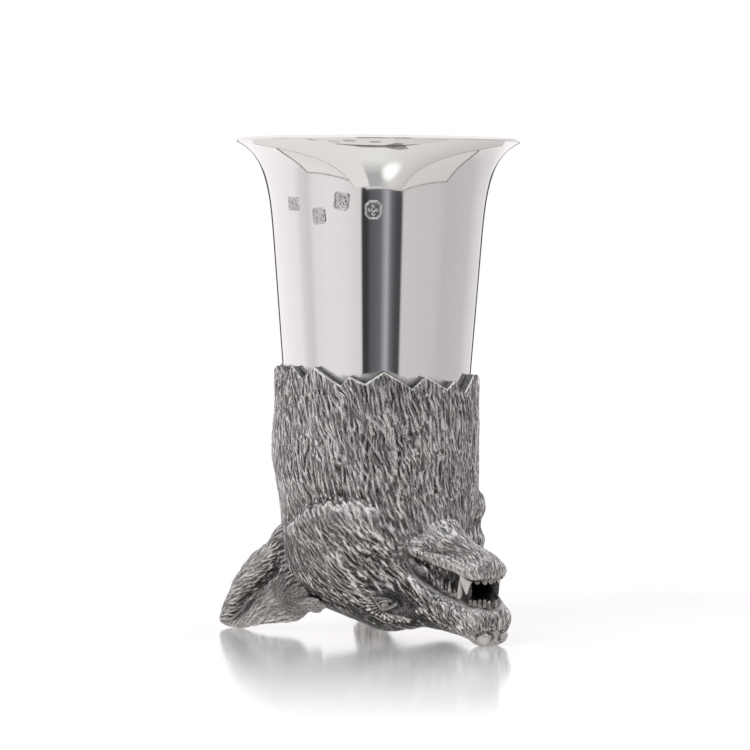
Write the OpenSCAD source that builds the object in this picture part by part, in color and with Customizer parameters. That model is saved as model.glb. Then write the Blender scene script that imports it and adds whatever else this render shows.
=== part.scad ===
// Stirrup cup: a spun silver beaker with a flared lip, let into a hollow cast fox mask.
// The mask hangs upside down and the cup stands on the nose and on the tips of both ears.
// Frame: +Z up, the muzzle points to -Y, the table is Z = 0, and the origin is the middle of the footprint.

/* [Beaker] */
// Height of the rim above the table
overall_h = 130; // [115:1:145]
// Diameter over the flared lip
rim_d = 74.6; // [68:0.2:84]
// Diameter that the straight wall would have at the rim
mouth_d = 59; // [55:0.2:63]
// Outside diameter at the foot of the beaker
foot_d = 46.6; // [43:0.2:50]
// Height of the foot of the beaker above the table
foot_z = 50; // [46:0.5:56]
// Height over which the wall flares
flare_h = 30; // [20:1:40]
// Part of the flare that is a slow curve; the rest is the turned lip
slow_flare = 5; // [3:0.1:6]
// Thickness of the spun sheet
sheet = 1; // [0.6:0.1:1.4]
// Thickness of the let-in base disc
base_t = 1.4; // [0.8:0.1:2]

/* [Neck] */
// Wall of the casting
cast_t = 1.9; // [1.4:0.1:3]
// Height of the zigzag collar's points at the back and the sides of the neck
collar_h = 71.8; // [68:0.2:76]
// How much lower the collar is at the front
collar_drop = 3.2; // [1:0.2:5]
// Rise of a zigzag point for each degree of its width
tooth_rise = 0.13; // [0.08:0.01:0.16]
// Height of the foot of the straight neck
neck_z = 35; // [31:0.5:40]
// Clearance between the beaker and the collar
collar_gap = 0.15; // [0.1:0.05:0.4]
// Thickness of the ring that the beaker stands on
seat_t = 2; // [1.5:0.1:3]
// Width of that ring
seat_w = 5; // [4:0.2:8]
// Clearance in the soldered seams
solder_gap = 0.05; // [0.02:0.01:0.1]

/* [Skull] */
// Radius of the back of the skull
crown_r = 15; // [13:0.2:17]
// Its distance behind the axis of the cup
crown_back = 9; // [6:0.2:11]
// Its distance to each side
crown_side = 9; // [7:0.2:11]
// Height of the crown above the table
crown_clear = 7; // [5:0.2:9]
// Radius of the brow
brow_r = 8; // [7:0.1:9]
// Distance of the brow in front of the axis
brow_fwd = 15.5; // [13:0.1:18]
// Its distance to each side
brow_side = 10.5; // [9:0.1:12]
// Height of the brow above the table
brow_clear = 2.4; // [1.5:0.1:4]
// Radius of the cheek
cheek_r = 11; // [10:0.1:12]
// Distance of the cheek in front of the axis
cheek_fwd = 8; // [6:0.1:10]
// Its distance to each side
cheek_side = 15; // [13:0.1:16]
// Height of the middle of the cheek
cheek_z = 25; // [22:0.2:28]
// Radius of the eyeballs
eye_r = 2.7; // [2.2:0.1:3.2]
// How far an eyeball stands out of the brow
eye_proud = 1; // [0.6:0.1:1.4]

/* [Cheek ruff] */
// Radius of the cheek ruff's ridge
ruff_r = 4.4; // [3.6:0.1:5.2]
// Distance of its point in front of the axis
ruff_fwd = 11; // [9:0.2:13]
// Its distance to each side
ruff_side = 23.6; // [22:0.2:25]
// Height of its point
ruff_z = 32.2; // [30:0.2:34.4]

/* [Muzzle] */
// Reach of the nose in front of the axis of the cup
nose_reach = 47.4; // [44:0.2:50]
// Radius of the nose pad
nose_r = 3.6; // [3:0.1:4.2]
// Half of the distance between the two wings of the nose
nose_side = 1.9; // [1.2:0.1:2.4]
// Radius of the front of the muzzle
muzzle_r = 4.4; // [3.8:0.1:5]
// Half of the distance between the two corners of the muzzle
muzzle_side = 3.7; // [3.1:0.1:4.3]
// Height of the front of the nasal bridge above the table
bridge_clear = 1.7; // [1:0.1:2.4]
// Radius of the root of the muzzle
root_r = 7.7; // [7:0.1:8.4]
// Distance of the root in front of the axis
root_fwd = 19; // [17:0.2:21]
// Its distance to each side
root_side = 7.7; // [6.4:0.1:9]
// Height of the root
root_z = 13.4; // [12.4:0.1:14.4]
// How far the nose and the ears are worn flat where they stand
foot_flat = 0.4; // [0.2:0.05:0.6]

/* [Lower jaw] */
// Reach of the chin in front of the axis
jaw_reach = 44.5; // [41.5:0.2:46]
// Radius of the lip all round the jaw
lip_r = 1.9; // [1.6:0.1:2.3]
// Half of the width of the chin, between the centres of its corners
chin_side = 4.9; // [4:0.1:5.6]
// Height of the lower lip at the chin
chin_lip_z = 17.2; // [16.4:0.1:18.4]
// Half of the width at the corners of the mouth, between the lips' centres
corner_side = 9.6; // [8.6:0.1:10.6]
// Distance of the corners of the mouth in front of the axis
corner_fwd = 24; // [22:0.2:26]
// Height of the lower lip at the corners of the mouth
corner_lip_z = 23.4; // [22.4:0.1:24.6]
// Radius of the keel under the chin
keel_r = 3; // [2.6:0.1:3.4]
// Radius of the throat
throat_r = 9; // [8:0.1:10]
// Distance of the throat in front of the axis
throat_fwd = 20; // [18:0.2:22]
// Height of the throat
throat_z = 27; // [26:0.1:28.4]
// Width of the slot between the jaws that opens into the hollow head
slot_w = 11; // [8:0.2:13]
// Height of that slot
slot_h = 5; // [4:0.1:6]

// Half of the thickness of the gum that closes each side of the mouth
gum_r = 1.2; // [0.8:0.1:1.6]

/* [Ears] */
// Reach of an ear tip behind the axis of the cup
ear_reach = 34.8; // [32:0.2:36.5]
// Distance of an ear tip to the side
ear_tip_side = 24.2; // [22:0.2:26]
// Height of the top of the ear at its root
ear_top_z = 23.6; // [21:0.2:26]
// Radius of the rolled rear rim at the root of the ear
ear_rim_r = 3.2; // [2.6:0.1:3.6]
// Radius of the rim at the tip
ear_tip_r = 1.7; // [1.4:0.1:2]
// Radius of the front edge of the ear
ear_edge_r = 1.6; // [1.3:0.1:1.9]
// Half of the thickness of the ear between its rims
ear_leaf_r = 1.1; // [0.8:0.1:1.4]
// Depth of the hollow along the rear rim of the ear
ear_cup = 2.6; // [1.8:0.1:3.4]

/* [Teeth] */
// Length of a canine out of its jaw
canine_l = 5; // [4:0.1:5.6]
// Radius of a canine at its root
canine_r = 1.3; // [1:0.05:1.5]
// Length of an incisor out of its jaw
incisor_l = 1.5; // [1:0.1:1.8]
// Radius of an incisor
incisor_r = 0.75; // [0.6:0.05:0.85]
// Length of a cheek tooth out of its jaw
molar_l = 2; // [1.4:0.1:2.4]
// Radius of a cheek tooth at its root
molar_r = 0.95; // [0.75:0.05:1.1]

/* [Hidden] */

SILVER = "silver";
OXIDISED = "dimgray";
BRIGHT = "gainsboro";
round_fn = 96;
ball_fn = 32;
tooth_fn = 16;
wall_steps = 32;
over = 1;
nose_lead = 0.9;

// The cup's axis stands behind the origin, so that the origin is the middle of the footprint.
back_reach = max(rim_d / 2, ear_reach);
axis_y = (nose_reach - back_reach) / 2;

// Widths in degrees of the hand-cut zigzag points round the collar, from the first valley on.
zigzag_start = -107;
zigzag_deg = [18, 28, 12, 28, 23, 17, 30, 14, 26, 20, 32, 15, 27, 22, 29, 19];
zigzag_lean = 0.42;

// The beaker's wall: a straight taper, a slow flare and a turned lip, by height.
function flare_t(z) = max(0, (z - (lip_z - flare_h)) / flare_h);
function wall_r(z) = foot_d / 2 + (mouth_d - foot_d) / 2 * (z - foot_z) / (lip_z - foot_z)
    + slow_flare * pow(flare_t(z), 4)
    + (rim_d / 2 - mouth_d / 2 - slow_flare) * pow(flare_t(z), 14);
slope_dz = 0.02;
function wall_tilt(z) = atan((wall_r(z) - wall_r(z - slope_dz)) / slope_dz);
function wall_z(i) = foot_z + (lip_z - foot_z) * sin(90 * i / wall_steps);
function outer_point(z) = [wall_r(z), z];
function inner_point(z) = [wall_r(z) - sheet * cos(wall_tilt(z)), z + sheet * sin(wall_tilt(z))];
lip_z = overall_h - sheet * 0.92;
foot_tilt = atan((mouth_d - foot_d) / 2 / (lip_z - foot_z));
foot_inner_r = foot_d / 2 - sheet / cos(foot_tilt);
function foot_bore_r(z) = foot_inner_r + tan(foot_tilt) * (z - foot_z);

// The neck fits round the beaker at the collar.
bore_r = wall_r(collar_h) + collar_gap;
neck_r = bore_r + cast_t;

// Heights that follow from what rests on the table.
crown_z = crown_clear + crown_r;
brow_z = brow_clear + brow_r;
nose_z = nose_r - foot_flat;
nose_fwd = nose_reach - nose_r;
muzzle_fwd = nose_reach - nose_lead - muzzle_r;
muzzle_z = bridge_clear + muzzle_r;
chin_fwd = jaw_reach - lip_r;
chin_z = chin_lip_z + lip_r;
corner_z = corner_lip_z + lip_r;

// Heights of the two lip lines and half widths of the two jaws, by distance in front of the axis.
function along(fwd, fwd_a, a, fwd_b, b) = a + (b - a) * (fwd - fwd_a) / (fwd_b - fwd_a);
function upper_lip_z(fwd) = along(fwd, root_fwd, root_z + root_r, muzzle_fwd, muzzle_z + muzzle_r);
function lower_lip_z(fwd) = along(fwd, corner_fwd, corner_lip_z, chin_fwd, chin_lip_z);
function upper_half_w(fwd) = along(fwd, root_fwd, root_side + root_r, muzzle_fwd, muzzle_side + muzzle_r);
function lower_half_w(fwd) = along(fwd, corner_fwd, corner_side + lip_r, chin_fwd, chin_side + lip_r);

// A place is given by its distance in front of the cup's axis, to the side of it and above the table.
module at(fwd, side, up) {
    translate([side, axis_y - fwd, up]) children();
}

module ball(fwd, side, up, r) {
    at(fwd, side, up) sphere(r = r, $fn = ball_fn);
}

module ball_pair(fwd, side, up, r) {
    for (s = [-1, 1]) ball(fwd, s * side, up, r);
}

// A run of balls, each given as [forward, side, up, radius], joined one to the next.
module ball_chain(balls) {
    for (i = [0 : len(balls) - 2]) hull() {
        ball(balls[i][0], balls[i][1], balls[i][2], balls[i][3]);
        ball(balls[i + 1][0], balls[i + 1][1], balls[i + 1][2], balls[i + 1][3]);
    }
}

module mirror_side(side) {
    scale_sign = side < 0 ? [1, 0, 0] : [0, 0, 0];
    mirror(scale_sign) children();
}

module above_table() {
    intersection() {
        children();
        at(0, 0, 0) translate([-2 * rim_d, -2 * rim_d, 0]) cube([4 * rim_d, 4 * rim_d, 2 * overall_h]);
    }
}

// The neck, drawn in where it runs down into the skull.
module neck_form() {
    at(0, 0, 0) rotate_extrude($fn = round_fn) polygon([
        [0, neck_z - neck_r / 3],
        [neck_r * 0.88, neck_z - neck_r / 3],
        [neck_r, neck_z],
        [neck_r, collar_h + over],
        [0, collar_h + over]]);
}

module skull_form() {
    hull() {
        at(0, 0, neck_z + over) cylinder(r = neck_r - cast_t / 8, h = over, $fn = round_fn);
        ball_pair(-crown_back, crown_side, crown_z, crown_r);
        ball_pair(brow_fwd, brow_side, brow_z, brow_r);
        ball_pair(cheek_fwd, cheek_side, cheek_z, cheek_r);
    }
}

// The inside of the casting: a hollow head, solid behind the eyes, and a round bore for the beaker.
module hollow_form() {
    hull() {
        at(0, 0, neck_z) cylinder(r = bore_r - cast_t / 4, h = over, $fn = round_fn);
        ball_pair(-crown_back, crown_side, crown_z, crown_r - cast_t);
        ball_pair(brow_fwd - brow_r / 2, brow_side, brow_z + cast_t, brow_r - cast_t);
        ball_pair(cheek_fwd, cheek_side, cheek_z, cheek_r - cast_t);
    }
    at(0, 0, neck_z) cylinder(r = bore_r, h = collar_h, $fn = round_fn);
}

// The cheek ruff: a pad with a ridge from the side of the head over its point to the throat.
module ruff_form(side) {
    behind = [-over, side * (ruff_side + 1.8), ruff_z - ruff_r, ruff_r * 0.8];
    point = [ruff_fwd, side * ruff_side, ruff_z, ruff_r];
    before = [ruff_fwd + 7.2, side * (ruff_side - 5.6), ruff_z - 0.6, ruff_r * 0.9];
    below = [ruff_fwd + 3.4, side * (ruff_side - 7.2), ruff_z - 12, ruff_r];
    for (other = [behind, before]) hull() for (p = [point, other, below]) ball(p[0], p[1], p[2], p[3]);
}

// The muzzle, with the nose pad hanging a little below the nasal bridge.
module muzzle_form() {
    hull() {
        ball_pair(root_fwd, root_side, root_z, root_r);
        ball_pair(muzzle_fwd, muzzle_side, muzzle_z, muzzle_r);
    }
    hull() {
        ball_pair(muzzle_fwd - muzzle_r / 2, nose_side, muzzle_z, nose_r);
        ball_pair(nose_fwd, nose_side, nose_z, nose_r);
    }
}

// The gum behind the teeth, a wall between the two jaws along each side of the mouth.
module gum_form(side) {
    hull() for (fwd = [root_fwd + root_r - gum_r, muzzle_fwd - gum_r]) {
        inset = gum_r + along(fwd, root_fwd + root_r, molar_r * 4, muzzle_fwd, canine_r);
        for (up = [upper_lip_z(fwd) - gum_r, lower_lip_z(fwd) + gum_r])
            ball(fwd, side * (lower_half_w(fwd) - inset), up, gum_r);
    }
}

// Everything of the mask that fills space, before it is hollowed.
module mask_form() {
    neck_form();
    skull_form();
    for (s = [-1, 1]) ruff_form(s);
    for (s = [-1, 1]) gum_form(s);
    muzzle_form();
}

module jaw_form() {
    hull() {
        ball(throat_fwd, 0, throat_z, throat_r);
        ball(chin_fwd - keel_r / 2, 0, chin_lip_z + keel_r, keel_r);
        ball_pair(corner_fwd, corner_side, corner_z, lip_r);
        ball_pair(chin_fwd, chin_side, chin_z, lip_r);
    }
}

// The collar's edge: its height at an angle from the muzzle, and its zigzag as [angle, height].
function collar_z(deg) = collar_h - collar_drop * max(0, cos(deg));
function valley_deg(i) = i == 0 ? zigzag_start : valley_deg(i - 1) + zigzag_deg[i - 1];
widest_deg = max(zigzag_deg);
function valley_z(deg) = collar_z(deg) - tooth_rise * widest_deg;
function point_deg(i) = valley_deg(i) + zigzag_deg[i] * zigzag_lean;
function zigzag() = [for (i = [0 : len(zigzag_deg) - 1]) each [
    [valley_deg(i), valley_z(valley_deg(i))],
    [point_deg(i), valley_z(point_deg(i)) + tooth_rise * zigzag_deg[i]]]];

// All that lies above the zigzag edge, as a ring to be cut away.
module collar_cut() {
    edge = zigzag();
    n = len(edge);
    r_in = bore_r / 2;
    r_out = neck_r * 1.2;
    cut_top = collar_h + 2 * over;
    function spot(deg, r, z) = [r * sin(deg), axis_y - r * cos(deg), z];
    points = [for (e = edge) each [spot(e[0], r_in, e[1]), spot(e[0], r_out, e[1]),
                                   spot(e[0], r_out, cut_top), spot(e[0], r_in, cut_top)]];
    faces = [for (i = [0 : n - 1], k = [0 : 3]) each [
        [4 * ((i + 1) % n) + (k + 1) % 4, 4 * ((i + 1) % n) + k, 4 * i + k],
        [4 * i + (k + 1) % 4, 4 * ((i + 1) % n) + (k + 1) % 4, 4 * i + k]]];
    polyhedron(points, faces);
}

module eyeball(side, clearance) {
    reach = (brow_r - eye_r + eye_proud) * cos(45);
    at(brow_fwd + reach, side * (brow_side + reach), brow_z) sphere(r = eye_r + clearance, $fn = ball_fn);
}

// The slot between the jaws, from the mouth through the front of the skull.
module mouth_slot() {
    back = brow_fwd - brow_r;
    front = root_fwd + root_r;
    hull() for (fwd = [back, front], s = [-1, 1])
        at(fwd, s * (slot_w - slot_h) / 2, (upper_lip_z(fwd) + lower_lip_z(fwd)) / 2)
            sphere(d = slot_h, $fn = ball_fn);
}

module beaker_wall() {
    color(SILVER) at(0, 0, 0) rotate_extrude($fn = round_fn) polygon(concat(
        [[foot_inner_r, foot_z]],
        [for (i = [0 : wall_steps]) outer_point(wall_z(i))],
        [for (i = [wall_steps : -1 : 1]) inner_point(wall_z(i))]));
}

module beaker_base() {
    color(SILVER) at(0, 0, 0) rotate_extrude($fn = round_fn) polygon([
        [0, foot_z],
        [foot_bore_r(foot_z) - solder_gap, foot_z],
        [foot_bore_r(foot_z + base_t) - solder_gap, foot_z + base_t],
        [0, foot_z + base_t]]);
}

module seat_ring() {
    color(SILVER) at(0, 0, foot_z - seat_t) difference() {
        cylinder(r = bore_r - solder_gap, h = seat_t, $fn = round_fn);
        translate([0, 0, -over]) cylinder(r = bore_r - seat_w, h = seat_t + 2 * over, $fn = round_fn);
    }
}

module mask() {
    color(OXIDISED) above_table() difference() {
        mask_form();
        hollow_form();
        collar_cut();
        mouth_slot();
        for (s = [-1, 1]) eyeball(s, solder_gap);
    }
}

module lower_jaw() {
    color(OXIDISED) difference() {
        jaw_form();
        mask_form();
        mouth_slot();
    }
}

module ear(side) {
    tip_fwd = ear_tip_r - ear_reach;
    foot_up = ear_edge_r - foot_flat;
    root = [-crown_back - crown_r / 3, crown_side + crown_r * 2 / 3, ear_top_z, ear_rim_r];
    tip = [tip_fwd, ear_tip_side, ear_tip_r + 0.5, ear_tip_r];
    foot = [tip_fwd + 4, ear_tip_side - 1.2, foot_up, ear_edge_r];
    fore = [-crown_back + crown_r / 2, crown_side + crown_r * 0.62, crown_clear + 2.5, ear_edge_r];
    function between(t, bulge, r) = [root[0] + (tip[0] - root[0]) * t - bulge,
                                     root[1] + (tip[1] - root[1]) * t + bulge * 0.4,
                                     root[2] + (tip[2] - root[2]) * t + bulge, r];
    function lower(t, sag) = [foot[0] + (fore[0] - foot[0]) * t, foot[1] + (fore[1] - foot[1]) * t,
                              foot[2] + (fore[2] - foot[2]) * t - sag, ear_edge_r];
    function leaf(p, cup) = [p[0], p[1] - cup, p[2] + ear_leaf_r, ear_leaf_r];
    rear_rim = [root, between(0.35, 1, ear_rim_r * 0.95), between(0.65, 1.3, ear_rim_r * 0.85),
                between(0.88, 0.6, ear_tip_r * 1.3), tip];
    front_edge = [tip, foot, lower(0.3, 0.6), lower(0.65, 0.5), fore];
    above_table() difference() {
        mirror_side(side) {
            ball_chain(rear_rim);
            ball_chain(front_edge);
            for (i = [0 : 3]) hull() for (k = [0, 1]) {
                deep = leaf(rear_rim[i + k], ear_cup);
                shallow = leaf(front_edge[4 - i - k], ear_cup / 6);
                for (p = [deep, shallow]) ball(p[0], p[1], p[2], p[3]);
            }
        }
        mask_form();
    }
}

module ear_left() {
    color(OXIDISED) ear(-1);
}

module ear_right() {
    color(OXIDISED) ear(1);
}

module eye_left() {
    color(BRIGHT) eyeball(-1, 0);
}

module eye_right() {
    color(BRIGHT) eyeball(1, 0);
}

// A tooth from its root, which is sunk in the jaw, to its point; up is 1 or -1.
root_depth = 2;
module tooth(fwd, side, gum_z, up, length, r, tip_r) {
    at(fwd, side, gum_z - up * root_depth) mirror([0, 0, up < 0 ? 1 : 0])
        cylinder(h = length + root_depth, r1 = r, r2 = tip_r, $fn = tooth_fn);
}

module canine_teeth() {
    upper_fwd = muzzle_fwd - 1.2;
    lower_fwd = muzzle_fwd + 1.6;
    color(BRIGHT) difference() {
        for (s = [-1, 1]) {
            tooth(upper_fwd, s * (upper_half_w(upper_fwd) - 2), upper_lip_z(upper_fwd) - 0.6, 1,
                  canine_l, canine_r, canine_r / 4);
            tooth(lower_fwd, s * (lower_half_w(lower_fwd) - 1.9), lower_lip_z(lower_fwd) + 0.3, -1,
                  canine_l, canine_r, canine_r / 4);
        }
        mask_form();
        jaw_form();
    }
}

// Incisors stand on an arc across the front of a jaw, cheek teeth in a row along each side.
incisor_count = 6;
molar_count = 4;
module incisors(arc_fwd, arc_fwd_r, arc_side_r, gum_z, up) {
    for (i = [0 : incisor_count - 1]) {
        deg = 100 * (i / (incisor_count - 1) - 0.5);
        tooth(arc_fwd + arc_fwd_r * cos(deg), arc_side_r * sin(deg), gum_z, up,
              incisor_l, incisor_r, incisor_r * 0.7);
    }
}

molar_step = 2.3;
function molar_fwd(i) = muzzle_fwd - 4 - i * molar_step;

module upper_teeth() {
    color(BRIGHT) difference() {
        union() {
            incisors(muzzle_fwd - 1, 3.2, 5, muzzle_z + muzzle_r - 0.7, 1);
            for (i = [0 : molar_count - 1], s = [-1, 1])
                tooth(molar_fwd(i), s * (upper_half_w(molar_fwd(i)) - 2.6), upper_lip_z(molar_fwd(i)) - 0.5, 1,
                      molar_l, molar_r, molar_r / 4);
        }
        mask_form();
    }
}

module lower_teeth() {
    color(BRIGHT) difference() {
        union() {
            incisors(chin_fwd - 2, 2.2, chin_side - 0.6, chin_lip_z + 0.3, -1);
            for (i = [0 : molar_count - 1], s = [-1, 1])
                tooth(molar_fwd(i) + molar_step / 2, s * (lower_half_w(molar_fwd(i)) - 2.4),
                      lower_lip_z(molar_fwd(i) + molar_step / 2) + 0.3, -1, molar_l, molar_r, molar_r / 4);
        }
        jaw_form();
        mask_form();
    }
}

beaker_wall();
beaker_base();
seat_ring();
mask();
lower_jaw();
ear_left();
ear_right();
eye_left();
eye_right();
canine_teeth();
upper_teeth();
lower_teeth();
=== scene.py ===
# %% [markdown]
# # A stirrup cup: a polished beaker in a cast fox mask
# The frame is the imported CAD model. It is loaded first and never changed: every visual piece below is
# modelled where its CAD solid is, rides on the one body, "root", and stands for that solid.

# %% Load the frame
import bpy
import math
import numpy as np
from contextlib import contextmanager
from mathutils import Matrix, Vector, kdtree, noise


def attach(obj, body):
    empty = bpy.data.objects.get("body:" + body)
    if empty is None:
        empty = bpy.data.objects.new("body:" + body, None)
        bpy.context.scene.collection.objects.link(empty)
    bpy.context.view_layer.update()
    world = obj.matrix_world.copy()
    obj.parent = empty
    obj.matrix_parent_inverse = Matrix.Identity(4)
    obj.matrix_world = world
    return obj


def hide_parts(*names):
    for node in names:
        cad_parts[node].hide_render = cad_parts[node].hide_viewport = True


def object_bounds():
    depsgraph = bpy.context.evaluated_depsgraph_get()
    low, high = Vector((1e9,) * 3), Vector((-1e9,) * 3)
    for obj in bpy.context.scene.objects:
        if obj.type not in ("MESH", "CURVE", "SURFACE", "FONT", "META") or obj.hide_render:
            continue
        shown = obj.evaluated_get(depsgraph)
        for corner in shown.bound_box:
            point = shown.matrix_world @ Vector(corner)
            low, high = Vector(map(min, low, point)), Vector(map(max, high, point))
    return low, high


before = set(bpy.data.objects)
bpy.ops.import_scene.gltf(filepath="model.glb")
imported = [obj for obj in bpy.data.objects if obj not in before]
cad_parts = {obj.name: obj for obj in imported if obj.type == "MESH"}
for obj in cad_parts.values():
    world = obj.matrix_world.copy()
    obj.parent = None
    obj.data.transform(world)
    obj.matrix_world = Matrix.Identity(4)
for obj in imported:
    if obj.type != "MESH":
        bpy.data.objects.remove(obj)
cad_box = [list(map(float, corner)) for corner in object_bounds()]
print("CAD box in metres:", cad_box)

# %% [markdown]
# The sizes repeat those of the part's source, in millimetres. Blender works in metres, so one helper turns
# a place given as (forward, side, up) from the cup's axis into a point of the shared frame. The muzzle
# points to -Y.

# %% Sizes and places
MM = 0.001
OVERALL_H, RIM_D, MOUTH_D, FOOT_D = 130.0, 74.6, 59.0, 46.6
FOOT_Z, FLARE_H, SLOW_FLARE, SHEET, BASE_T = 50.0, 30.0, 5.0, 1.0, 1.4
LIP_Z = OVERALL_H - SHEET * 0.92
NOSE_REACH = 47.4
AXIS_Y = (NOSE_REACH - RIM_D / 2) / 2


def spot(fwd, side, up):
    return Vector((side, AXIS_Y - fwd, up)) * MM


def to_head(points):
    """Vertex places in metres as (forward, side, up) in millimetres."""
    p = points / MM
    return np.stack([AXIS_Y - p[:, 1], p[:, 0], p[:, 2]], axis=1)


def from_head(points):
    return np.stack([points[:, 1], AXIS_Y - points[:, 0], points[:, 2]], axis=1) * MM


print("axis of the cup at y =", round(AXIS_Y, 3), "mm; rim radius", RIM_D / 2, "mm")

# %% [markdown]
# The operators work on what is selected and active, so a few helpers set that up: one to add an object, one
# to pick it, one to edit its mesh, one to apply a modifier and one to join pieces. The last ones read a
# mesh, leave values on it and give it its finishes.

# %% Helpers for objects
def placed(name, data):
    """A new object in the scene."""
    obj = bpy.data.objects.new(name, data)
    bpy.context.scene.collection.objects.link(obj)
    return obj


def added(add, **settings):
    """Runs an operator that adds a primitive, and returns the new object."""
    bpy.ops.object.select_all(action="DESELECT")
    add(**settings)
    return bpy.context.object


def pick(obj):
    """Makes one object the only selected one, and active."""
    if bpy.context.object and bpy.context.object.mode != "OBJECT":
        bpy.ops.object.mode_set(mode="OBJECT")
    bpy.ops.object.select_all(action="DESELECT")
    obj.select_set(True)
    bpy.context.view_layer.objects.active = obj
    return obj


@contextmanager
def editing(obj, faces=None):
    """Edit mode on one object, with its whole mesh or only the given faces selected."""
    pick(obj)
    bpy.ops.object.mode_set(mode="EDIT")
    if faces is None:
        bpy.ops.mesh.select_all(action="SELECT")
    else:
        bpy.ops.mesh.select_mode(type="FACE")
        bpy.ops.mesh.select_all(action="DESELECT")
        bpy.ops.object.mode_set(mode="OBJECT")
        obj.data.polygons.foreach_set("select", faces)
        bpy.ops.object.mode_set(mode="EDIT")
    yield
    bpy.ops.object.mode_set(mode="OBJECT")


def baked(obj):
    """Applies an object's own place, turn and scale to its mesh."""
    pick(obj)
    bpy.ops.object.transform_apply(location=True, rotation=True, scale=True)
    return obj


def modified(obj, kind, **settings):
    """Gives an object a modifier with its settings, and applies it."""
    pick(obj)
    step = obj.modifiers.new("step", kind)
    for key, value in settings.items():
        setattr(step, key, value)
    bpy.ops.object.modifier_apply(modifier="step")


def joined(parts):
    """Joins objects into the first of them."""
    bpy.ops.object.select_all(action="DESELECT")
    for part in parts:
        part.select_set(True)
    bpy.context.view_layer.objects.active = parts[0]
    bpy.ops.object.join()
    return bpy.context.object


def read(items, name, kind=np.float32, width=3):
    """A field of vertices, edges or faces as an array with one row for each."""
    flat = np.empty(len(items) * width, kind)
    items.foreach_get(name, flat)
    return flat.reshape(-1, width)


def leave(obj, name, values):
    """Leaves a number on each vertex, for the finish to read."""
    field = obj.data.attributes.new(name, "FLOAT", "POINT")
    field.data.foreach_set("value", values.astype(np.float32))


def dressed(obj, *finishes):
    """Gives an object these finishes, in place of any that it had."""
    obj.data.materials.clear()
    for finish in finishes:
        obj.data.materials.append(finish)
    return obj


print("object helpers ready")

# %% [markdown]
# ## The camera and the studio
# The photograph was taken with a long lens about a metre away, a little below the rim, with the muzzle
# turned 49 degrees from the line of sight. A 180 mm lens on Blender's 36 mm sensor gives the same size in
# the frame, and the camera looks down by two degrees, which puts the cup where it is in the photograph with
# no shift.

# %% Camera
VIEW_TO_CUP = Vector((0.656, 0.755, 0.0))
VIEW_RIGHT = Vector((0.755, -0.656, 0.0))
CAMERA_D, CAMERA_Z, LENS, SENSOR = 988.0, 103.0, 180.0, 36.0
AIM_DROP, AIM_LEFT, ROLL = 35.2, 0.5, 0.35
camera_data = bpy.data.cameras.new("camera")
camera_data.lens, camera_data.sensor_width = LENS, SENSOR
camera_data.clip_start, camera_data.clip_end = 0.05, 20.0
camera = placed("camera", camera_data)
camera.location = (Vector((0, AXIS_Y, CAMERA_Z)) - VIEW_TO_CUP * CAMERA_D) * MM
aim = (Vector((0, AXIS_Y, CAMERA_Z - AIM_DROP)) - VIEW_RIGHT * AIM_LEFT) * MM
look = (aim - camera.location).to_track_quat("-Z", "Y")
camera.rotation_euler = (look.to_matrix() @ Matrix.Rotation(math.radians(ROLL), 3, "Z")).to_euler()
bpy.context.scene.camera = camera
bpy.context.scene.view_settings.view_transform = "Standard"
print("camera at", [round(v, 3) for v in camera.location])

# %% [markdown]
# Shader trees are easier to read when a node is made, set and linked in one line, so some helpers do that.
# The mix node keeps sockets for floats, vectors and colours under the same names, so the colour ones are
# taken by number.

# %% Helpers for node trees
WHITE = (1, 1, 1, 1)


def node(tree, kind, inputs=None, **props):
    """Adds a node, sets its properties, and sets or links its inputs."""
    made = tree.nodes.new(kind)
    for key, value in props.items():
        setattr(made, key, value)
    for key, value in (inputs or {}).items():
        if isinstance(value, bpy.types.NodeSocket):
            tree.links.new(value, made.inputs[key])
        else:
            made.inputs[key].default_value = value
    return made


def maths(tree, operation, *values):
    return node(tree, "ShaderNodeMath", dict(enumerate(values)), operation=operation).outputs["Value"]


def product(tree, first, *others):
    for other in others:
        first = maths(tree, "MULTIPLY", first, other)
    return first


def vectors(tree, operation, *values, out="Vector"):
    return node(tree, "ShaderNodeVectorMath", dict(enumerate(values)), operation=operation).outputs[out]


def spread(tree, value, low, high, to_low=0.0, to_high=1.0):
    """Maps a range of values to another, and clamps."""
    ends = {"Value": value, "From Min": low, "From Max": high, "To Min": to_low, "To Max": to_high}
    return node(tree, "ShaderNodeMapRange", ends).outputs["Result"]


def blend_colours(tree, factor, a, b, how="MIX"):
    made = node(tree, "ShaderNodeMix", {0: factor, 6: a, 7: b}, data_type="RGBA", blend_type=how)
    return made.outputs[2]


def ramp(tree, factor, stops):
    """A colour ramp through (place, grey or colour) stops."""
    made = node(tree, "ShaderNodeValToRGB", {"Fac": factor})
    band = made.color_ramp
    while len(band.elements) < len(stops):
        band.elements.new(0.5)
    for element, (place, tone) in zip(band.elements, stops):
        element.position = place
        element.color = (tone, tone, tone, 1) if isinstance(tone, float) else (*tone, 1)
    return made.outputs["Color"]


def object_place(tree):
    return node(tree, "ShaderNodeTexCoord").outputs["Object"]


def grain(tree, place, scale, detail, out="Fac"):
    return node(tree, "ShaderNodeTexNoise", {"Vector": place, "Scale": scale, "Detail": detail}).outputs[out]


def metal(name):
    """A new metal, with its node tree and the inputs of its shader."""
    made = bpy.data.materials.new(name)
    made.use_nodes = True
    inputs = made.node_tree.nodes["Principled BSDF"].inputs
    inputs["Metallic"].default_value = 1.0
    return made, made.node_tree, inputs


print("node helpers ready")

# %% [markdown]
# A mirror shows the room, so the room is designed with the beaker in mind. The world is a light tent: pale
# cloth walls that meet in two upright corners, brighter on the left, a pale ceiling, and a dark gap where
# the camera stands, which the beaker shows as its dark upright band. The camera itself sees plain white
# behind the cup. The walls' tones are given by the angle from the camera.

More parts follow.
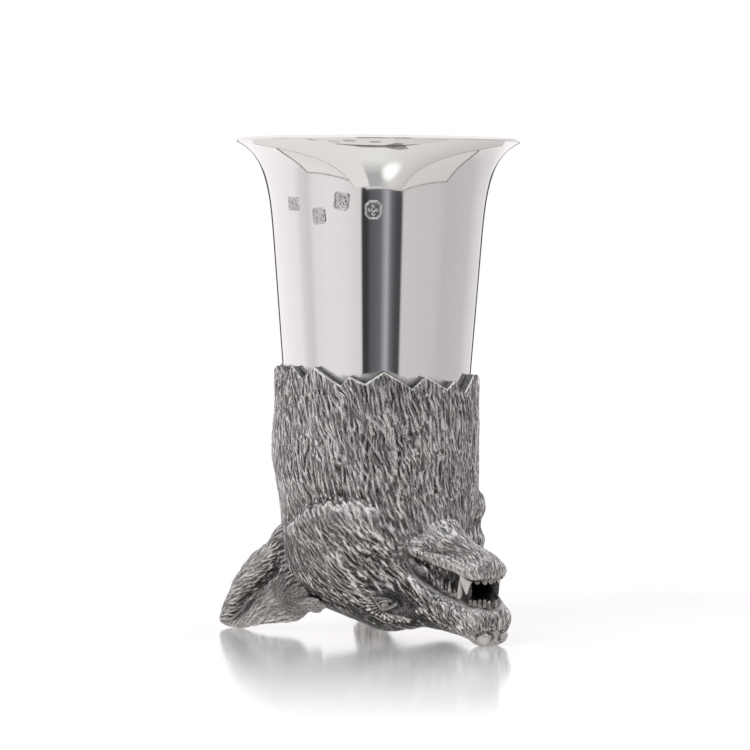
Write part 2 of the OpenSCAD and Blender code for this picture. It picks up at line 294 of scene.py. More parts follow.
# %% Tent walls
WARM, COOL = (1.0, 0.965, 0.98), (0.95, 0.97, 1.06)
BACK_LEFT = [(-180, 1.0), (-165, 1.0), (-126, 0.91), (-101, 0.84)]
LEFT_CORNER = [(-92, 0.7), (-82, 0.64), (-74, 0.76)]
LEFT_WALL = [(-55, 0.8), (-40, 0.78), (-18.5, 0.69)]
CAMERA_GAP = [(-17, 0.045), (-12, 0.04), (-8, 0.1), (3, 0.15), (10, 0.44), (15, 0.15), (20, 0.075),
              (26, 0.06)]
RIGHT_WALL = [(27.5, 0.61), (69, 0.57), (80, 0.52), (117, 0.56)]
BACK_RIGHT = [(136, 0.7), (150, 0.74), (168, 1.0), (180, 1.0)]
CLOTH = [(WARM, BACK_LEFT + LEFT_CORNER + LEFT_WALL), (COOL, CAMERA_GAP), (WARM, RIGHT_WALL + BACK_RIGHT)]
cloth_stops = [((degrees + 180) / 360, tuple(tone * part for part in tint))
               for tint, stretch in CLOTH for degrees, tone in stretch]
world = bpy.data.worlds.new("tent")
bpy.context.scene.world = world
world.use_nodes = True
tree = world.node_tree
tree.nodes.clear()
away = node(tree, "ShaderNodeTexCoord").outputs["Generated"]
forth = vectors(tree, "DOT_PRODUCT", away, -VIEW_TO_CUP, out="Value")
right = vectors(tree, "DOT_PRODUCT", away, VIEW_RIGHT, out="Value")
height = node(tree, "ShaderNodeSeparateXYZ", {0: away}).outputs["Z"]
turn = maths(tree, "ARCTAN2", right, forth)
walls = ramp(tree, spread(tree, turn, -math.pi, math.pi), cloth_stops)
print("tent cloth with", len(cloth_stops), "tones round the cup")

# %% [markdown]
# Below the horizon the tent's own pale floor runs out to the foot of the four walls. The place where a ray
# meets that floor follows from its direction, taken from the height of the beaker's lip, and a thin dark
# seam is drawn where the floor meets a wall. A dark seam behind the cup gives the beaker its thin dark
# outline. A wall's foot is given by a point on it and the way into the tent, as (towards the camera, right)
# in metres.

# %% Tent floor and ceiling
LIP_UP, LEAST_DROP, GAP_WALL, FLOOR_HALF, SEAM_SOFT = 0.119, 0.02, 0.284, 0.2, 0.001
SEAM_IN, SEAM_OUT, BACK_IN, BACK_OUT = 0.0022, 0.0035, 2.82, 2.78
SEAM_HEIGHTS, BACK_TOP, BACK_FOOT, CEILING = (-0.2, -0.25), (0.02, 0.03), (-0.1, -0.075), (0.3, 0.42)
LEFT_FOOT, RIGHT_FOOT = (0.035, -0.221), (0.061, 0.288)
WALL_FEET = [(LEFT_FOOT, (0.635, 0.772)), (LEFT_FOOT, (-0.544, 0.840)),
             (RIGHT_FOOT, (-0.572, -0.820)), (RIGHT_FOOT, (0.734, -0.680))]
FLOOR_LEFT, FLOOR_RIGHT = (0.8, 0.78, 0.775), (0.65, 0.62, 0.61)
SEAM_TONE, CEILING_TONE = (0.07, 0.07, 0.075, 1), (0.95, 0.95, 0.96, 1)
fall = maths(tree, "MAXIMUM", maths(tree, "MULTIPLY", height, -1.0), LEAST_DROP)
drop = maths(tree, "DIVIDE", LIP_UP, fall)
floor_x, floor_y = product(tree, forth, drop), product(tree, right, drop)
inside = maths(tree, "SUBTRACT", GAP_WALL, floor_x)
for (foot_x, foot_y), (in_x, in_y) in WALL_FEET:
    off_x = product(tree, maths(tree, "SUBTRACT", floor_x, foot_x), in_x)
    off_y = product(tree, maths(tree, "SUBTRACT", floor_y, foot_y), in_y)
    inside = maths(tree, "MINIMUM", inside, maths(tree, "ADD", off_x, off_y))
floor_stops = [(0.0, FLOOR_LEFT), (1.0, FLOOR_RIGHT)]
tent_floor = ramp(tree, spread(tree, floor_y, -FLOOR_HALF, FLOOR_HALF), floor_stops)
room = blend_colours(tree, spread(tree, inside, -SEAM_SOFT, SEAM_SOFT), walls, tent_floor)
at_seam = spread(tree, maths(tree, "ABSOLUTE", inside), SEAM_IN, SEAM_OUT, 1.0, 0.0)
seam = product(tree, at_seam, spread(tree, height, *SEAM_HEIGHTS))
at_back = spread(tree, maths(tree, "ABSOLUTE", turn), BACK_OUT, BACK_IN)
behind = product(
    tree, at_back, spread(tree, height, *BACK_TOP, 1.0, 0.0), spread(tree, height, *BACK_FOOT))
room = blend_colours(tree, maths(tree, "MAXIMUM", seam, behind), room, SEAM_TONE)
room = blend_colours(tree, spread(tree, height, *CEILING), room, CEILING_TONE)
seen = node(tree, "ShaderNodeLightPath").outputs["Is Camera Ray"]
light = node(tree, "ShaderNodeBackground", {"Color": blend_colours(tree, seen, room, WHITE), "Strength": 1.0})
node(tree, "ShaderNodeOutputWorld", {"Surface": light.outputs[0]})
print("tent world:", len(tree.nodes), "nodes")

# %% [markdown]
# The cup stands on a glossy white sheet that ends not far in front of it, so that the beaker shows the dark
# gap down to the collar. The sheet mirrors the head most strongly round its feet. Part of its white is its
# own glow, so that it meets the white background without a line, and the rest is lit, so that it keeps the
# cup's soft shadow.

# %% Floor
SHEET_LEFT, SHEET_RIGHT, SHEET_FRONT, SHEET_BACK = -0.130, 0.126, 0.286, 0.300
SHEET_SINK, PAPER, GLOW = 0.00005, (0.5, 0.5, 0.5, 1), 0.5
MIRROR_SHARE, MIRROR_REACH, GLOSS = 0.93, 0.215, 0.13
floor = added(bpy.ops.mesh.primitive_plane_add, size=2.0, location=(0, 0, 0))
floor.name = "floor"
middle = ((SHEET_RIGHT + SHEET_LEFT) / 2, (SHEET_BACK - SHEET_FRONT) / 2, -SHEET_SINK)
with editing(floor):
    bpy.ops.transform.resize(value=((SHEET_RIGHT - SHEET_LEFT) / 2, (SHEET_FRONT + SHEET_BACK) / 2, 1.0))
    bpy.ops.transform.translate(value=middle)
floor.rotation_euler = (0, 0, math.atan2(VIEW_TO_CUP.y, VIEW_TO_CUP.x) - math.pi / 2)
baked(floor)
sheet_white = bpy.data.materials.new("floor_sheet")
sheet_white.use_nodes = True
tree = sheet_white.node_tree
tree.nodes.clear()
where = object_place(tree)
from_cup = vectors(tree, "LENGTH", where, out="Value")
near_cup = spread(tree, from_cup, 0.0, MIRROR_REACH, MIRROR_SHARE, 0.0)
lit = node(tree, "ShaderNodeBsdfDiffuse", {"Color": PAPER})
glow = node(tree, "ShaderNodeEmission", {"Color": WHITE, "Strength": GLOW})
paper = node(tree, "ShaderNodeAddShader", {0: lit.outputs[0], 1: glow.outputs[0]})
gloss = node(tree, "ShaderNodeBsdfGlossy", {"Color": WHITE, "Roughness": GLOSS})
body = node(tree, "ShaderNodeMixShader", {"Fac": near_cup, 1: paper.outputs[0], 2: gloss.outputs[0]})
print("floor:", [round(v, 2) for v in floor.dimensions])

# %% [markdown]
# The beaker sees the sheet as a glow with the tent's light painted in: paler on the left, with a thin dark
# edge, a painted reflection of a lamp and a painted dark reflection of the gap beside it.

# %% The floor as the beaker sees it
ACROSS = [(0.0, (0.77, 0.75, 0.745)), (0.5, (0.8, 0.79, 0.78)), (1.0, (0.58, 0.555, 0.55))]
EDGE_TONE, PAINTED_GAP_TONE, PAINTED_LAMP_GLINT = (0.12, 0.12, 0.12, 1), (0.3, 0.3, 0.3, 1), (1.2, 1.2, 1.2, 1)
LAMP_SPOT, LAMP_REACH, ACROSS_HALF = (0.037, 0.18), (0.034, 0.075), 0.12
EDGE_IN, EDGE_OUT, LAMP_EDGE, LAMP_CORE = 0.0012, 0.0022, 1.0, 0.4
GAP_LEFT, GAP_RIGHT, GAP_FRONT, GAP_SHARE = (-0.049, -0.044), (0.06, 0.0), (0.11, 0.2), 0.75
to_right = vectors(tree, "DOT_PRODUCT", where, VIEW_RIGHT, out="Value")
to_front = vectors(tree, "DOT_PRODUCT", where, -VIEW_TO_CUP, out="Value")
edge_gap = maths(tree, "SUBTRACT", to_right, SHEET_LEFT)
for end, place in ((SHEET_RIGHT, to_right), (SHEET_FRONT, to_front)):
    edge_gap = maths(tree, "MINIMUM", edge_gap, maths(tree, "SUBTRACT", end, place))
# All of this is painted light, seen only in reflections: a glow paler on the left, a thin dark edge, a
# painted dark reflection of the gap and a painted reflection of a lamp.
across = ramp(tree, spread(tree, to_right, -ACROSS_HALF, ACROSS_HALF), ACROSS)
across = blend_colours(tree, spread(tree, edge_gap, EDGE_IN, EDGE_OUT, 1.0, 0.0), across, EDGE_TONE)
painted_gap_reflection = product(tree, spread(tree, to_right, *GAP_LEFT), spread(tree, to_right, *GAP_RIGHT),
              spread(tree, to_front, *GAP_FRONT, 0.0, GAP_SHARE))
across = blend_colours(tree, painted_gap_reflection, across, PAINTED_GAP_TONE)
squares = []
for place, centre, reach in zip((to_right, to_front), LAMP_SPOT, LAMP_REACH):
    off = maths(tree, "DIVIDE", maths(tree, "SUBTRACT", place, centre), reach)
    squares.append(product(tree, off, off))
from_lamp = maths(tree, "SQRT", maths(tree, "ADD", *squares))
across = blend_colours(tree, spread(tree, from_lamp, LAMP_EDGE, LAMP_CORE), across, PAINTED_LAMP_GLINT)
painted_sheet_glow = node(tree, "ShaderNodeEmission", {"Color": across, "Strength": 1.0})
seen = node(tree, "ShaderNodeLightPath").outputs["Is Camera Ray"]
sheet = node(tree, "ShaderNodeMixShader", {"Fac": seen, 1: painted_sheet_glow.outputs[0], 2: body.outputs[0]})
node(tree, "ShaderNodeOutputMaterial", {"Surface": sheet.outputs[0]})
dressed(floor, sheet_white)
print("floor finish:", len(tree.nodes), "nodes")

# %% [markdown]
# One soft lamp from the left lights the head and throws the cup's shadow. It doesn't show in the mirror.

# %% Key lamp
KEY_PLACE, KEY_TARGET = Vector((-0.75, -0.1, 0.75)), Vector((0, 0, 0.05))
KEY_SIDE, KEY_WATTS = 0.5, 6.0
key_data = bpy.data.lights.new("key", "AREA")
key_data.shape, key_data.size, key_data.size_y = "RECTANGLE", KEY_SIDE, KEY_SIDE
key_data.energy = KEY_WATTS
key = placed("key", key_data)
key.location = KEY_PLACE
key.rotation_euler = (KEY_TARGET - KEY_PLACE).to_track_quat("-Z", "Y").to_euler()
key.visible_glossy = False
print("lamp:", key.name)

# %% [markdown]
# ## The beaker
# The real one is spun from sheet on a lathe, so it is made the same way here: one profile is drawn point by
# point and spun round the cup's axis. A cylinder with a scaled top could not give the slow flare and the
# quick turn of the lip. The edge of the lip is rounded, because a sharp edge would catch no light.

# %% Beaker profile
WALL_STEPS, LIP_STEPS, LIP_ROUND = 72, 6, 0.18
COLLAR_Z, BORE_PLAY, NECK_T = 71.8, 0.15, 1.9


def flare(z):
    t = max(0.0, (z - (LIP_Z - FLARE_H)) / FLARE_H)
    return SLOW_FLARE * t**4 + (RIM_D / 2 - MOUTH_D / 2 - SLOW_FLARE) * t**14


def wall_r(z):
    return FOOT_D / 2 + (MOUTH_D - FOOT_D) / 2 * (z - FOOT_Z) / (LIP_Z - FOOT_Z) + flare(z)


def wall_tilt(z, step=0.02):
    return math.atan((wall_r(z) - wall_r(z - step)) / step)


BORE_R = wall_r(COLLAR_Z) + BORE_PLAY
NECK_R = BORE_R + NECK_T
shares = [math.sin(math.pi / 2 * k / WALL_STEPS) for k in range(WALL_STEPS + 1)]
heights = [FOOT_Z + (LIP_Z - FOOT_Z) * share for share in shares]
outer = [(wall_r(z), z) for z in heights]
inner = [(wall_r(z) - SHEET * math.cos(wall_tilt(z)), z + SHEET * math.sin(wall_tilt(z))) for z in heights]
(r0, z0), (r1, z1) = outer[-1], inner[-1]
tilt = wall_tilt(LIP_Z)
edge = []
for k in range(LIP_STEPS + 1):
    half = math.cos(math.pi * k / LIP_STEPS) / 2
    bulge = LIP_ROUND * math.sin(math.pi * k / LIP_STEPS)
    edge.append(((r0 + r1) / 2 + half * (r0 - r1) + (bulge - LIP_ROUND) * math.sin(tilt),
                 (z0 + z1) / 2 + half * (z0 - z1) + bulge * math.cos(tilt)))
wall_profile = outer[:-1] + edge + inner[-2::-1]
print("profile points:", len(wall_profile), "lip at", round(max(r for r, z in wall_profile), 2), "mm")

# %% Spinning a profile
SPIN_STEPS, WELD, CREASE_ANGLE = 192, 1e-6, math.radians(40)


def spun(name, profile, closed=True):
    """Lays the points of a profile beside the axis, and spins them round it."""
    mesh = bpy.data.meshes.new(name)
    points = [(r * MM, AXIS_Y * MM, z * MM) for r, z in profile]
    edges = [(k, k + 1) for k in range(len(points) - 1)]
    mesh.from_pydata(points, edges + ([(len(points) - 1, 0)] if closed else []), [])
    obj = placed(name, mesh)
    with editing(obj):
        bpy.ops.mesh.spin(steps=SPIN_STEPS, angle=math.tau, center=(0, AXIS_Y * MM, 0), axis=(0, 0, 1))
        bpy.ops.mesh.select_all(action="SELECT")
        bpy.ops.mesh.remove_doubles(threshold=WELD)
        bpy.ops.mesh.normals_make_consistent(inside=False)
    bpy.ops.object.shade_smooth_by_angle(angle=CREASE_ANGLE)
    return obj


beaker = spun("beaker", wall_profile)
print("beaker:", len(beaker.data.polygons), "faces")

# %% Base disc
DISC_GAP = 0.02
disc_r, disc_low, disc_top = FOOT_D / 2 - SHEET, FOOT_Z + DISC_GAP, FOOT_Z + BASE_T
disc_profile = [(0.0, disc_low), (disc_r - 0.4, disc_low), (disc_r - 0.08, FOOT_Z + 0.3),
                (disc_r - DISC_GAP, disc_top - 0.25), (disc_r - 0.3, disc_top), (0.0, disc_top)]
base_disc = spun("base_disc", disc_profile, closed=False)
print("base disc:", len(base_disc.data.polygons), "faces")

# %% [markdown]
# ## Polished silver
# The beaker was spun and then polished by hand: a clear mirror with very fine lines round it from the
# polishing mop. A noise stretched round the axis gives those lines to the colour, the roughness and a faint
# bump. A perfect mirror would look like chrome. The same finish with an even noise does for the struck,
# soldered and filed places.

# %% Polished silver
LINE_DEPTH = 0.00002


def silver(name, pale, dull, rough, lines, relief):
    """Bare silver with fine lines: two tones, two roughness values, and the noise scale along each axis."""
    made, tree, inputs = metal(name)
    stretch = {"Vector": object_place(tree), "Scale": lines}
    mark = grain(tree, node(tree, "ShaderNodeMapping", stretch).outputs["Vector"], 1.0, 3.0)
    tree.links.new(ramp(tree, mark, [(0.3, dull), (0.7, pale)]), inputs["Base Color"])
    tree.links.new(spread(tree, mark, 0.3, 0.7, rough[1], rough[0]), inputs["Roughness"])
    bump = node(tree, "ShaderNodeBump", {"Height": mark, "Strength": relief, "Distance": LINE_DEPTH})
    tree.links.new(bump.outputs["Normal"], inputs["Normal"])
    return made


MOP_LINES, STRUCK_GRAIN, SOLDER_GRAIN = (40.0, 40.0, 5200.0), (1500.0,) * 3, (900.0,) * 3
polished = silver(
    "polished_silver", (0.945, 0.935, 0.92), (0.915, 0.905, 0.89), (0.045, 0.075), MOP_LINES, 0.05)
struck = silver("struck_silver", (0.82, 0.81, 0.8), (0.36, 0.355, 0.35), (0.16, 0.3), STRUCK_GRAIN, 0.3)
solder = silver("solder_silver", (0.62, 0.61, 0.6), (0.4, 0.39, 0.38), (0.25, 0.45), SOLDER_GRAIN, 0.3)
print("silver:", polished.name, struck.name, solder.name)

# %% [markdown]
# Four punch marks stand below the lip. Here they are blank shields with plain pips, so that they name no
# maker. Each is a small grid laid on the wall, raised at its edge where the punch pushed the metal up.

# %% Punch marks
MARK_STEPS, MARGIN = 44, 0.5
BURR, BURR_IN, BURR_WIDE, FIELD, PIP, SINK, OUTSIDE = 0.13, 0.2, 0.17, 0.03, 0.11, 0.02, 0.1


def punch(turn, up, width, height, tilt, corner, pips):
    """A shield on the wall; turn is the angle from the muzzle, and each pip is (across, up, radius)."""
    steps = {"x_subdivisions": MARK_STEPS, "y_subdivisions": MARK_STEPS}
    obj = added(bpy.ops.mesh.primitive_grid_add, size=1.0, **steps)
    x, y, _ = read(obj.data.vertices, "co").T * np.array([[width + MARGIN], [height + MARGIN], [1]])
    cut_corner = (np.abs(x) + np.abs(y) - (width + height) / 2 + corner) / math.sqrt(2)
    edge = np.maximum(np.maximum(np.abs(x) - width / 2, np.abs(y) - height / 2), cut_corner)
    proud = BURR * np.exp(-(((edge + BURR_IN) / BURR_WIDE) ** 2)) + FIELD * (edge < OUTSIDE)
    for px, py, radius in pips:
        proud += PIP * np.clip(1 - ((x - px) ** 2 + (y - py) ** 2) / radius**2, 0, 1) ** 0.5
    proud -= SINK * (edge > OUTSIDE)
    c, s = math.cos(math.radians(tilt)), math.sin(math.radians(tilt))
    side, above = c * x - s * y, s * x + c * y
    for vertex, across, z, out in zip(obj.data.vertices, side, up + above, proud):
        r, around = wall_r(z) + out, math.radians(turn) + across / wall_r(up)
        vertex.co = spot(r * math.cos(around), r * math.sin(around), z)
    dressed(obj, polished, struck)
    obj.data.polygons.foreach_set("material_index", np.ones(len(obj.data.polygons), np.int32))
    return obj


CROSS = [(0, 0, 0.55), (0, 1.05, 0.4), (0, -1.05, 0.4), (0.95, 0, 0.4), (-0.95, 0, 0.4)]
RING = [(0.85 * math.cos(k), 1.0 * math.sin(k), 0.42) for k in np.linspace(0, math.tau, 7)[:-1]]
ROWS = [(x, y, 0.36) for x in (-0.75, 0.0, 0.75) for y in (-0.9, 0.0, 0.9)]
MARKS = [(-91.1, 112.6, 4.4, 3.3, 0, 0.25, ROWS), (-73.6, 109.5, 3.8, 4.2, 6, 0.6, CROSS),
         (-60.1, 113.3, 4.0, 4.5, -9, 0.6, RING), (-43.3, 111.1, 4.2, 4.7, 0, 1.1, CROSS)]
marks = [punch(*mark) for mark in MARKS]
dressed(beaker, polished, struck)
dressed(base_disc, polished)
joined([beaker] + marks)
bpy.ops.object.shade_smooth_by_angle(angle=CREASE_ANGLE)
finished = [(beaker, ["beaker_wall"], "polished_silver"), (base_disc, ["beaker_base"], "polished_silver")]
print("beaker with", len(marks), "marks:", len(beaker.data.polygons), "faces")

# %% Seat ring
seat_ring = dressed(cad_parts["seat_ring"], solder)
print("seat ring keeps its CAD mesh in", seat_ring.data.materials[0].name)

# %% [markdown]
# ## Clay: a skin that can be carved
# The head is a casting from a carved model. Carving asks for an even skin of small faces, which CAD solids
# don't have, so a copy of each CAD solid is joined with a few plain fillers, remeshed by the voxel
# remesher, smoothed and then pushed in and out along its normals by small brushes written with numpy.
# Sculpt mode's own brushes need a window, and subdividing the CAD triangles would keep their hard edges.

# %% Clay and fillers
BALL_STEPS, DRUM_STEPS = 40, 128


def to_side(place, side):
    """A place given for the right half of the head, on the side wanted: -1 is left, 1 is right."""
    return place[0], side * place[1], place[2]


def ball(place, radii):
    steps = {"segments": BALL_STEPS, "ring_count": BALL_STEPS // 2}
    obj = added(bpy.ops.mesh.primitive_uv_sphere_add, radius=MM, location=spot(*place), **steps)
    obj.scale = (radii[1], radii[0], radii[2])
    return baked(obj)


def drum(low_r, high_r, low, high):
    return baked(added(
        bpy.ops.mesh.primitive_cone_add, vertices=DRUM_STEPS, radius1=low_r * MM, radius2=high_r * MM,
        depth=(high - low) * MM, location=spot(0, 0, (low + high) / 2)))


def clay(name, solid, fillers, voxel):
    """A copy of a CAD solid and its fillers as one even skin, with only its outer surface kept."""
    copy = placed(name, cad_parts[solid].data.copy())
    with editing(copy):
        bpy.ops.mesh.remove_doubles(threshold=WELD)
    obj = joined([copy] + fillers)
    obj.data.materials.clear()
    modified(obj, "REMESH", mode="VOXEL", voxel_size=voxel * MM)
    with editing(obj):
        bpy.ops.mesh.separate(type="LOOSE")
    shells = sorted(bpy.context.selected_objects, key=lambda shell: len(shell.data.vertices))
    for shell in shells[:-1]:
        bpy.data.objects.remove(shell)
    obj = pick(shells[-1])
    obj.name = obj.data.name = name
    return obj


print("clay tools ready")

# %% [markdown]
# The brushes work on numpy arrays of places and normals, all as (forward, side, up) in millimetres. A
# stroke runs along a drawn line and a dab is round; both find the skin nearest to the places they are
# given.

# %% Reading and moving the skin
BOX_PLAY = 2e-5


def places(obj):
    return to_head(read(obj.data.vertices, "co").astype(float))


def face_places(obj):
    return to_head(read(obj.data.polygons, "center").astype(float))


def move_to(obj, points):
    """Moves the vertices, and keeps them inside the CAD box."""
    kept = np.clip(from_head(points), np.array(cad_box[0]) + BOX_PLAY, np.array(cad_box[1]) - BOX_PLAY)
    kept[:, 2] = np.maximum(kept[:, 2], 0)
    obj.data.vertices.foreach_set("co", kept.astype(np.float32).ravel())
    obj.data.update()


def outward(obj):
    """Vertex normals as (forward, side, up)."""
    n = read(obj.data.vertex_normals, "vector").astype(float)
    return np.stack([-n[:, 1], n[:, 0], n[:, 2]], axis=1)


def wires(obj):
    return read(obj.data.edges, "vertices", np.int32, 2)


def averaged(values, edges, rounds, weight=0.5):
    """Each vertex's values moved towards those of its neighbours, some rounds over."""
    v = values.copy()
    count = np.bincount(edges.ravel(), minlength=len(v)).astype(float)[:, None]
    weight = weight[:, None] if isinstance(weight, np.ndarray) else weight
    for _ in range(rounds):
        near = np.stack([np.bincount(edges[:, 0], v[edges[:, 1], k], len(v))
                         + np.bincount(edges[:, 1], v[edges[:, 0], k], len(v)) for k in range(3)], axis=1)
        v += weight * (near / count - v)
    return v


def unit(rows):
    return rows / np.linalg.norm(rows, axis=-1, keepdims=True)


def folded(points):
    """Both halves of the head laid on one, since the carving is the same left and right."""
    return np.stack([points[:, 0], np.abs(points[:, 1]), points[:, 2]], axis=1)


print("skin tools ready")

# %% Brushes
END_SHARE = 0.15


def between(ends, share):
    """From the first of two values, where share is 0, to the second, where it is 1."""
    return ends[0] + (ends[1] - ends[0]) * share


def rise(x, low, high):
    """0 up to low, 1 from high on, smooth between them."""
    t = np.clip((x - low) / (high - low), 0, 1)
    return t * t * (3 - 2 * t)


def fade(x, low, high):
    """1 up to low, 0 from high on, smooth between them."""
    return rise(high - x, 0, high - low)


def hump(x, middle, width):
    return np.exp(-(((x - middle) / width) ** 2))


def line_reach(q, line):
    """Distance of each point from a drawn line, and how far along it lies, from 0 to 1."""
    line = np.array(line, float)
    lengths = np.linalg.norm(np.diff(line, axis=0), axis=1)
    starts = np.concatenate([[0], np.cumsum(lengths)]) / lengths.sum()
    best, along = np.full(len(q), np.inf), np.zeros(len(q))
    for k, step in enumerate(np.diff(line, axis=0)):
        t = np.clip(((q - line[k]) @ step) / (step @ step), 0, 1)
        d = np.linalg.norm(q - (line[k] + t[:, None] * step), axis=1)
        nearer = d < best
        best[nearer] = d[nearer]
        along[nearer] = (starts[k] + t * lengths[k] / lengths.sum())[nearer]
    return best, along


def part_way(line, t):
    """The point of a drawn line at t, counted in its points."""
    k = min(int(t), len(line) - 2)
    return np.array(line[k]) * (1 - t + k) + np.array(line[k + 1]) * (t - k)


def shifted(line, *by):
    return [tuple(a + b for a, b in zip(point, by)) for point in line]


def snapped(q, line):
    """A drawn line with its points moved onto the skin."""
    return [q[np.argmin(((q - np.array(point)) ** 2).sum(axis=1))] for point in line]


def stroke(q, line, width, height, ends=0.25):
    """A rounded crest, or a groove for a negative height, along a drawn line; it fades at its ends."""
    d, along = line_reach(q, snapped(q, line))
    fading = np.clip(np.minimum(along, 1 - along) / ends, 0, 1) if ends else 1.0
    return height * np.clip(1 - (d / width) ** 2, 0, 1) ** 2 * between((END_SHARE, 1), fading)


def dab(q, place, radius, height):
    """A round hump or hollow."""
    centre = snapped(q, [place])[0]
    return height * np.clip(1 - ((q - centre) ** 2).sum(axis=1) / radius**2, 0, 1) ** 2


def brushed(q, strokes, dabs):
    """All the named strokes and dabs together, as a height at each point."""
    return sum(stroke(q, *one) for one in strokes.values()) + sum(dab(q, *one) for one in dabs.values())


def wave(points, scale, seed):
    """Slow noise at each point, about -1 to 1."""
    shift = Vector((seed * 17.3, seed * 5.1, seed * 11.7))
    return np.array([noise.noise(Vector(p) / scale + shift) for p in points])


print("carving tools ready")

# %% [markdown]
# ## The fur
# The caster's model had its fur cut in lock by lock. Every lock here is a tapered ridge that lies along the
# run of the fur. Seeds for the locks are scattered over the skin so that no two crowd each other, and each
# vertex takes the height of the highest lock over it. A noise texture would be quicker, but it gives grain
# and not hair.

# %% Fur locks
AROUND = [(a, b, c) for a in (-1, 0, 1) for b in (-1, 0, 1) for c in (-1, 0, 1)]
LOCK_TURN, LOCK_BEND = 0.16, 0.05
LOCK_HALF, LOCK_WIDE, LOCK_HIGH = (0.42, 0.72), (0.28, 0.46), (0.2, 1.0)
LOCK_END, END_ROUND, TIP_WIDE, SIDE_ROUND = 2.2, 0.6, 0.35, 0.8
NEAR_LOCKS, TONE, HAIR_MIDDLE = 14, 0.44, 0.3
FINE_ROUNDS, FINE_GAIN, BROAD_ROUNDS, BROAD_GAIN = 3, 0.07, 30, 0.05


def lock_seeds(q, flow, pitch, reach, share, seed):
    """Picks vertices as lock middles, spaced by pitch across the fur and by reach along it."""
    order = np.random.default_rng(seed).permutation(len(q))[: int(len(q) * share)]
    cells, kept, size = {}, [], float(reach.max())
    spots, runs = q.tolist(), flow.tolist()
    thin, long = (1 / pitch**2).tolist(), (1 / reach**2).tolist()
    for i in order.tolist():
        x, y, z = spots[i]
        fx, fy, fz = runs[i]
        cx, cy, cz = int(x // size), int(y // size), int(z // size)
        free = True
        for a, b, c in AROUND:
            for j in cells.get((cx + a, cy + b, cz + c), ()):
                dx, dy, dz = x - spots[j][0], y - spots[j][1], z - spots[j][2]
                s = dx * fx + dy * fy + dz * fz
                if s * s * long[i] + (dx * dx + dy * dy + dz * dz - s * s) * thin[i] < 1:
                    free = False
                    break
            if not free:
                break
        if free:
            cells.setdefault((cx, cy, cz), []).append(i)
            kept.append(i)
    return np.array(kept)


def nearest(known):
    """A search tree over places."""
    tree = kdtree.KDTree(len(known))
    for k, place in enumerate(known):
        tree.insert(place, k)
    tree.balance()
    return tree


def fur(q, flow, normal, pitch, length, seed, share=0.6):
    """Height of the fur, 0 in the grooves to 1 on the locks, at each vertex."""
    kept = lock_seeds(q, flow, pitch, length * 0.5, share, seed)
    count, rng = len(kept), np.random.default_rng(seed + 1)
    tree = nearest(q[kept])
    found = np.array([[hit[1] for hit in tree.find_n(place, NEAR_LOCKS)] for place in q])
    turn = rng.normal(0, LOCK_TURN, count)
    across = np.cross(normal[kept], flow[kept])
    along = flow[kept] * np.cos(turn)[:, None] + across * np.sin(turn)[:, None]
    across = np.cross(normal[kept], along)
    half = length[kept] * rng.uniform(*LOCK_HALF, count)
    wide = pitch[kept] * rng.uniform(*LOCK_WIDE, count)
    high = rng.uniform(*LOCK_HIGH, count)
    bend = rng.normal(0, LOCK_BEND, count)
    out = np.zeros(len(q))
    for j in found.T:
        away = q - q[kept[j]]
        s = (away * along[j]).sum(axis=1) / half[j]
        t = (away * across[j]).sum(axis=1) - bend[j] * (s * half[j]) ** 2 / 2
        taper = np.clip(1 - np.abs(s) ** LOCK_END, 0, 1) ** END_ROUND
        half_wide = wide[j] * between((TIP_WIDE, 1), taper)
        lock = np.clip(1 - np.abs(t) / half_wide, 0, 1) ** SIDE_ROUND * taper
        out = np.maximum(out, lock * high[j])
    return out


def laid(flow, normal, turn):
    """A run of fur laid flat on the skin and turned by an angle."""
    flow = flow - normal * (flow * normal).sum(axis=1)[:, None]
    flow /= np.maximum(np.linalg.norm(flow, axis=1), 1e-6)[:, None]
    return flow * np.cos(turn)[:, None] + np.cross(normal, flow) * np.sin(turn)[:, None]


def tones(obj, hair, bare, darker, paler, gain=0.36):
    """How bright each vertex is: the patina rubbed pale on locks and edges and dark in grooves and hollows,
    with named places darker or paler, painted shade among them.
    """
    p, n, links = places(obj), outward(obj), wires(obj)
    fine = ((p - averaged(p, links, FINE_ROUNDS)) * n).sum(axis=1)
    broad = ((p - averaged(p, links, BROAD_ROUNDS)) * n).sum(axis=1)
    tone = TONE + gain * (hair - HAIR_MIDDLE) * (1 - bare)
    tone += FINE_GAIN * np.clip(fine / fine.std(), -1.2, 2)
    tone += BROAD_GAIN * np.clip(broad / broad.std(), -2, 2)
    return np.clip(tone - sum(darker.values()) + sum(paler.values()), 0, 1)


def comb(obj, upright, furred):
    """Leaves on each vertex how upright the fur stands and how much of it there is, for the patina."""
    field = obj.data.attributes.new("comb", "FLOAT_VECTOR", "POINT")
    rows = np.stack([upright, furred, 0 * furred], axis=1)
    field.data.foreach_set("vector", rows.astype(np.float32).ravel())


print("fur tools ready")

# %% [markdown]
# ## The mask
# Neck, skull and upper muzzle are one casting. Its bore, its hollow and its mouth slot are stopped with
# fillers while it is carved, and cut again afterwards, so that the remesher doesn't thin the walls. More
# fillers round out the throat, the eye sockets and the sides of the mouth. The neck and the tip of the
# muzzle are smoothed less than the rest, to keep their shape.

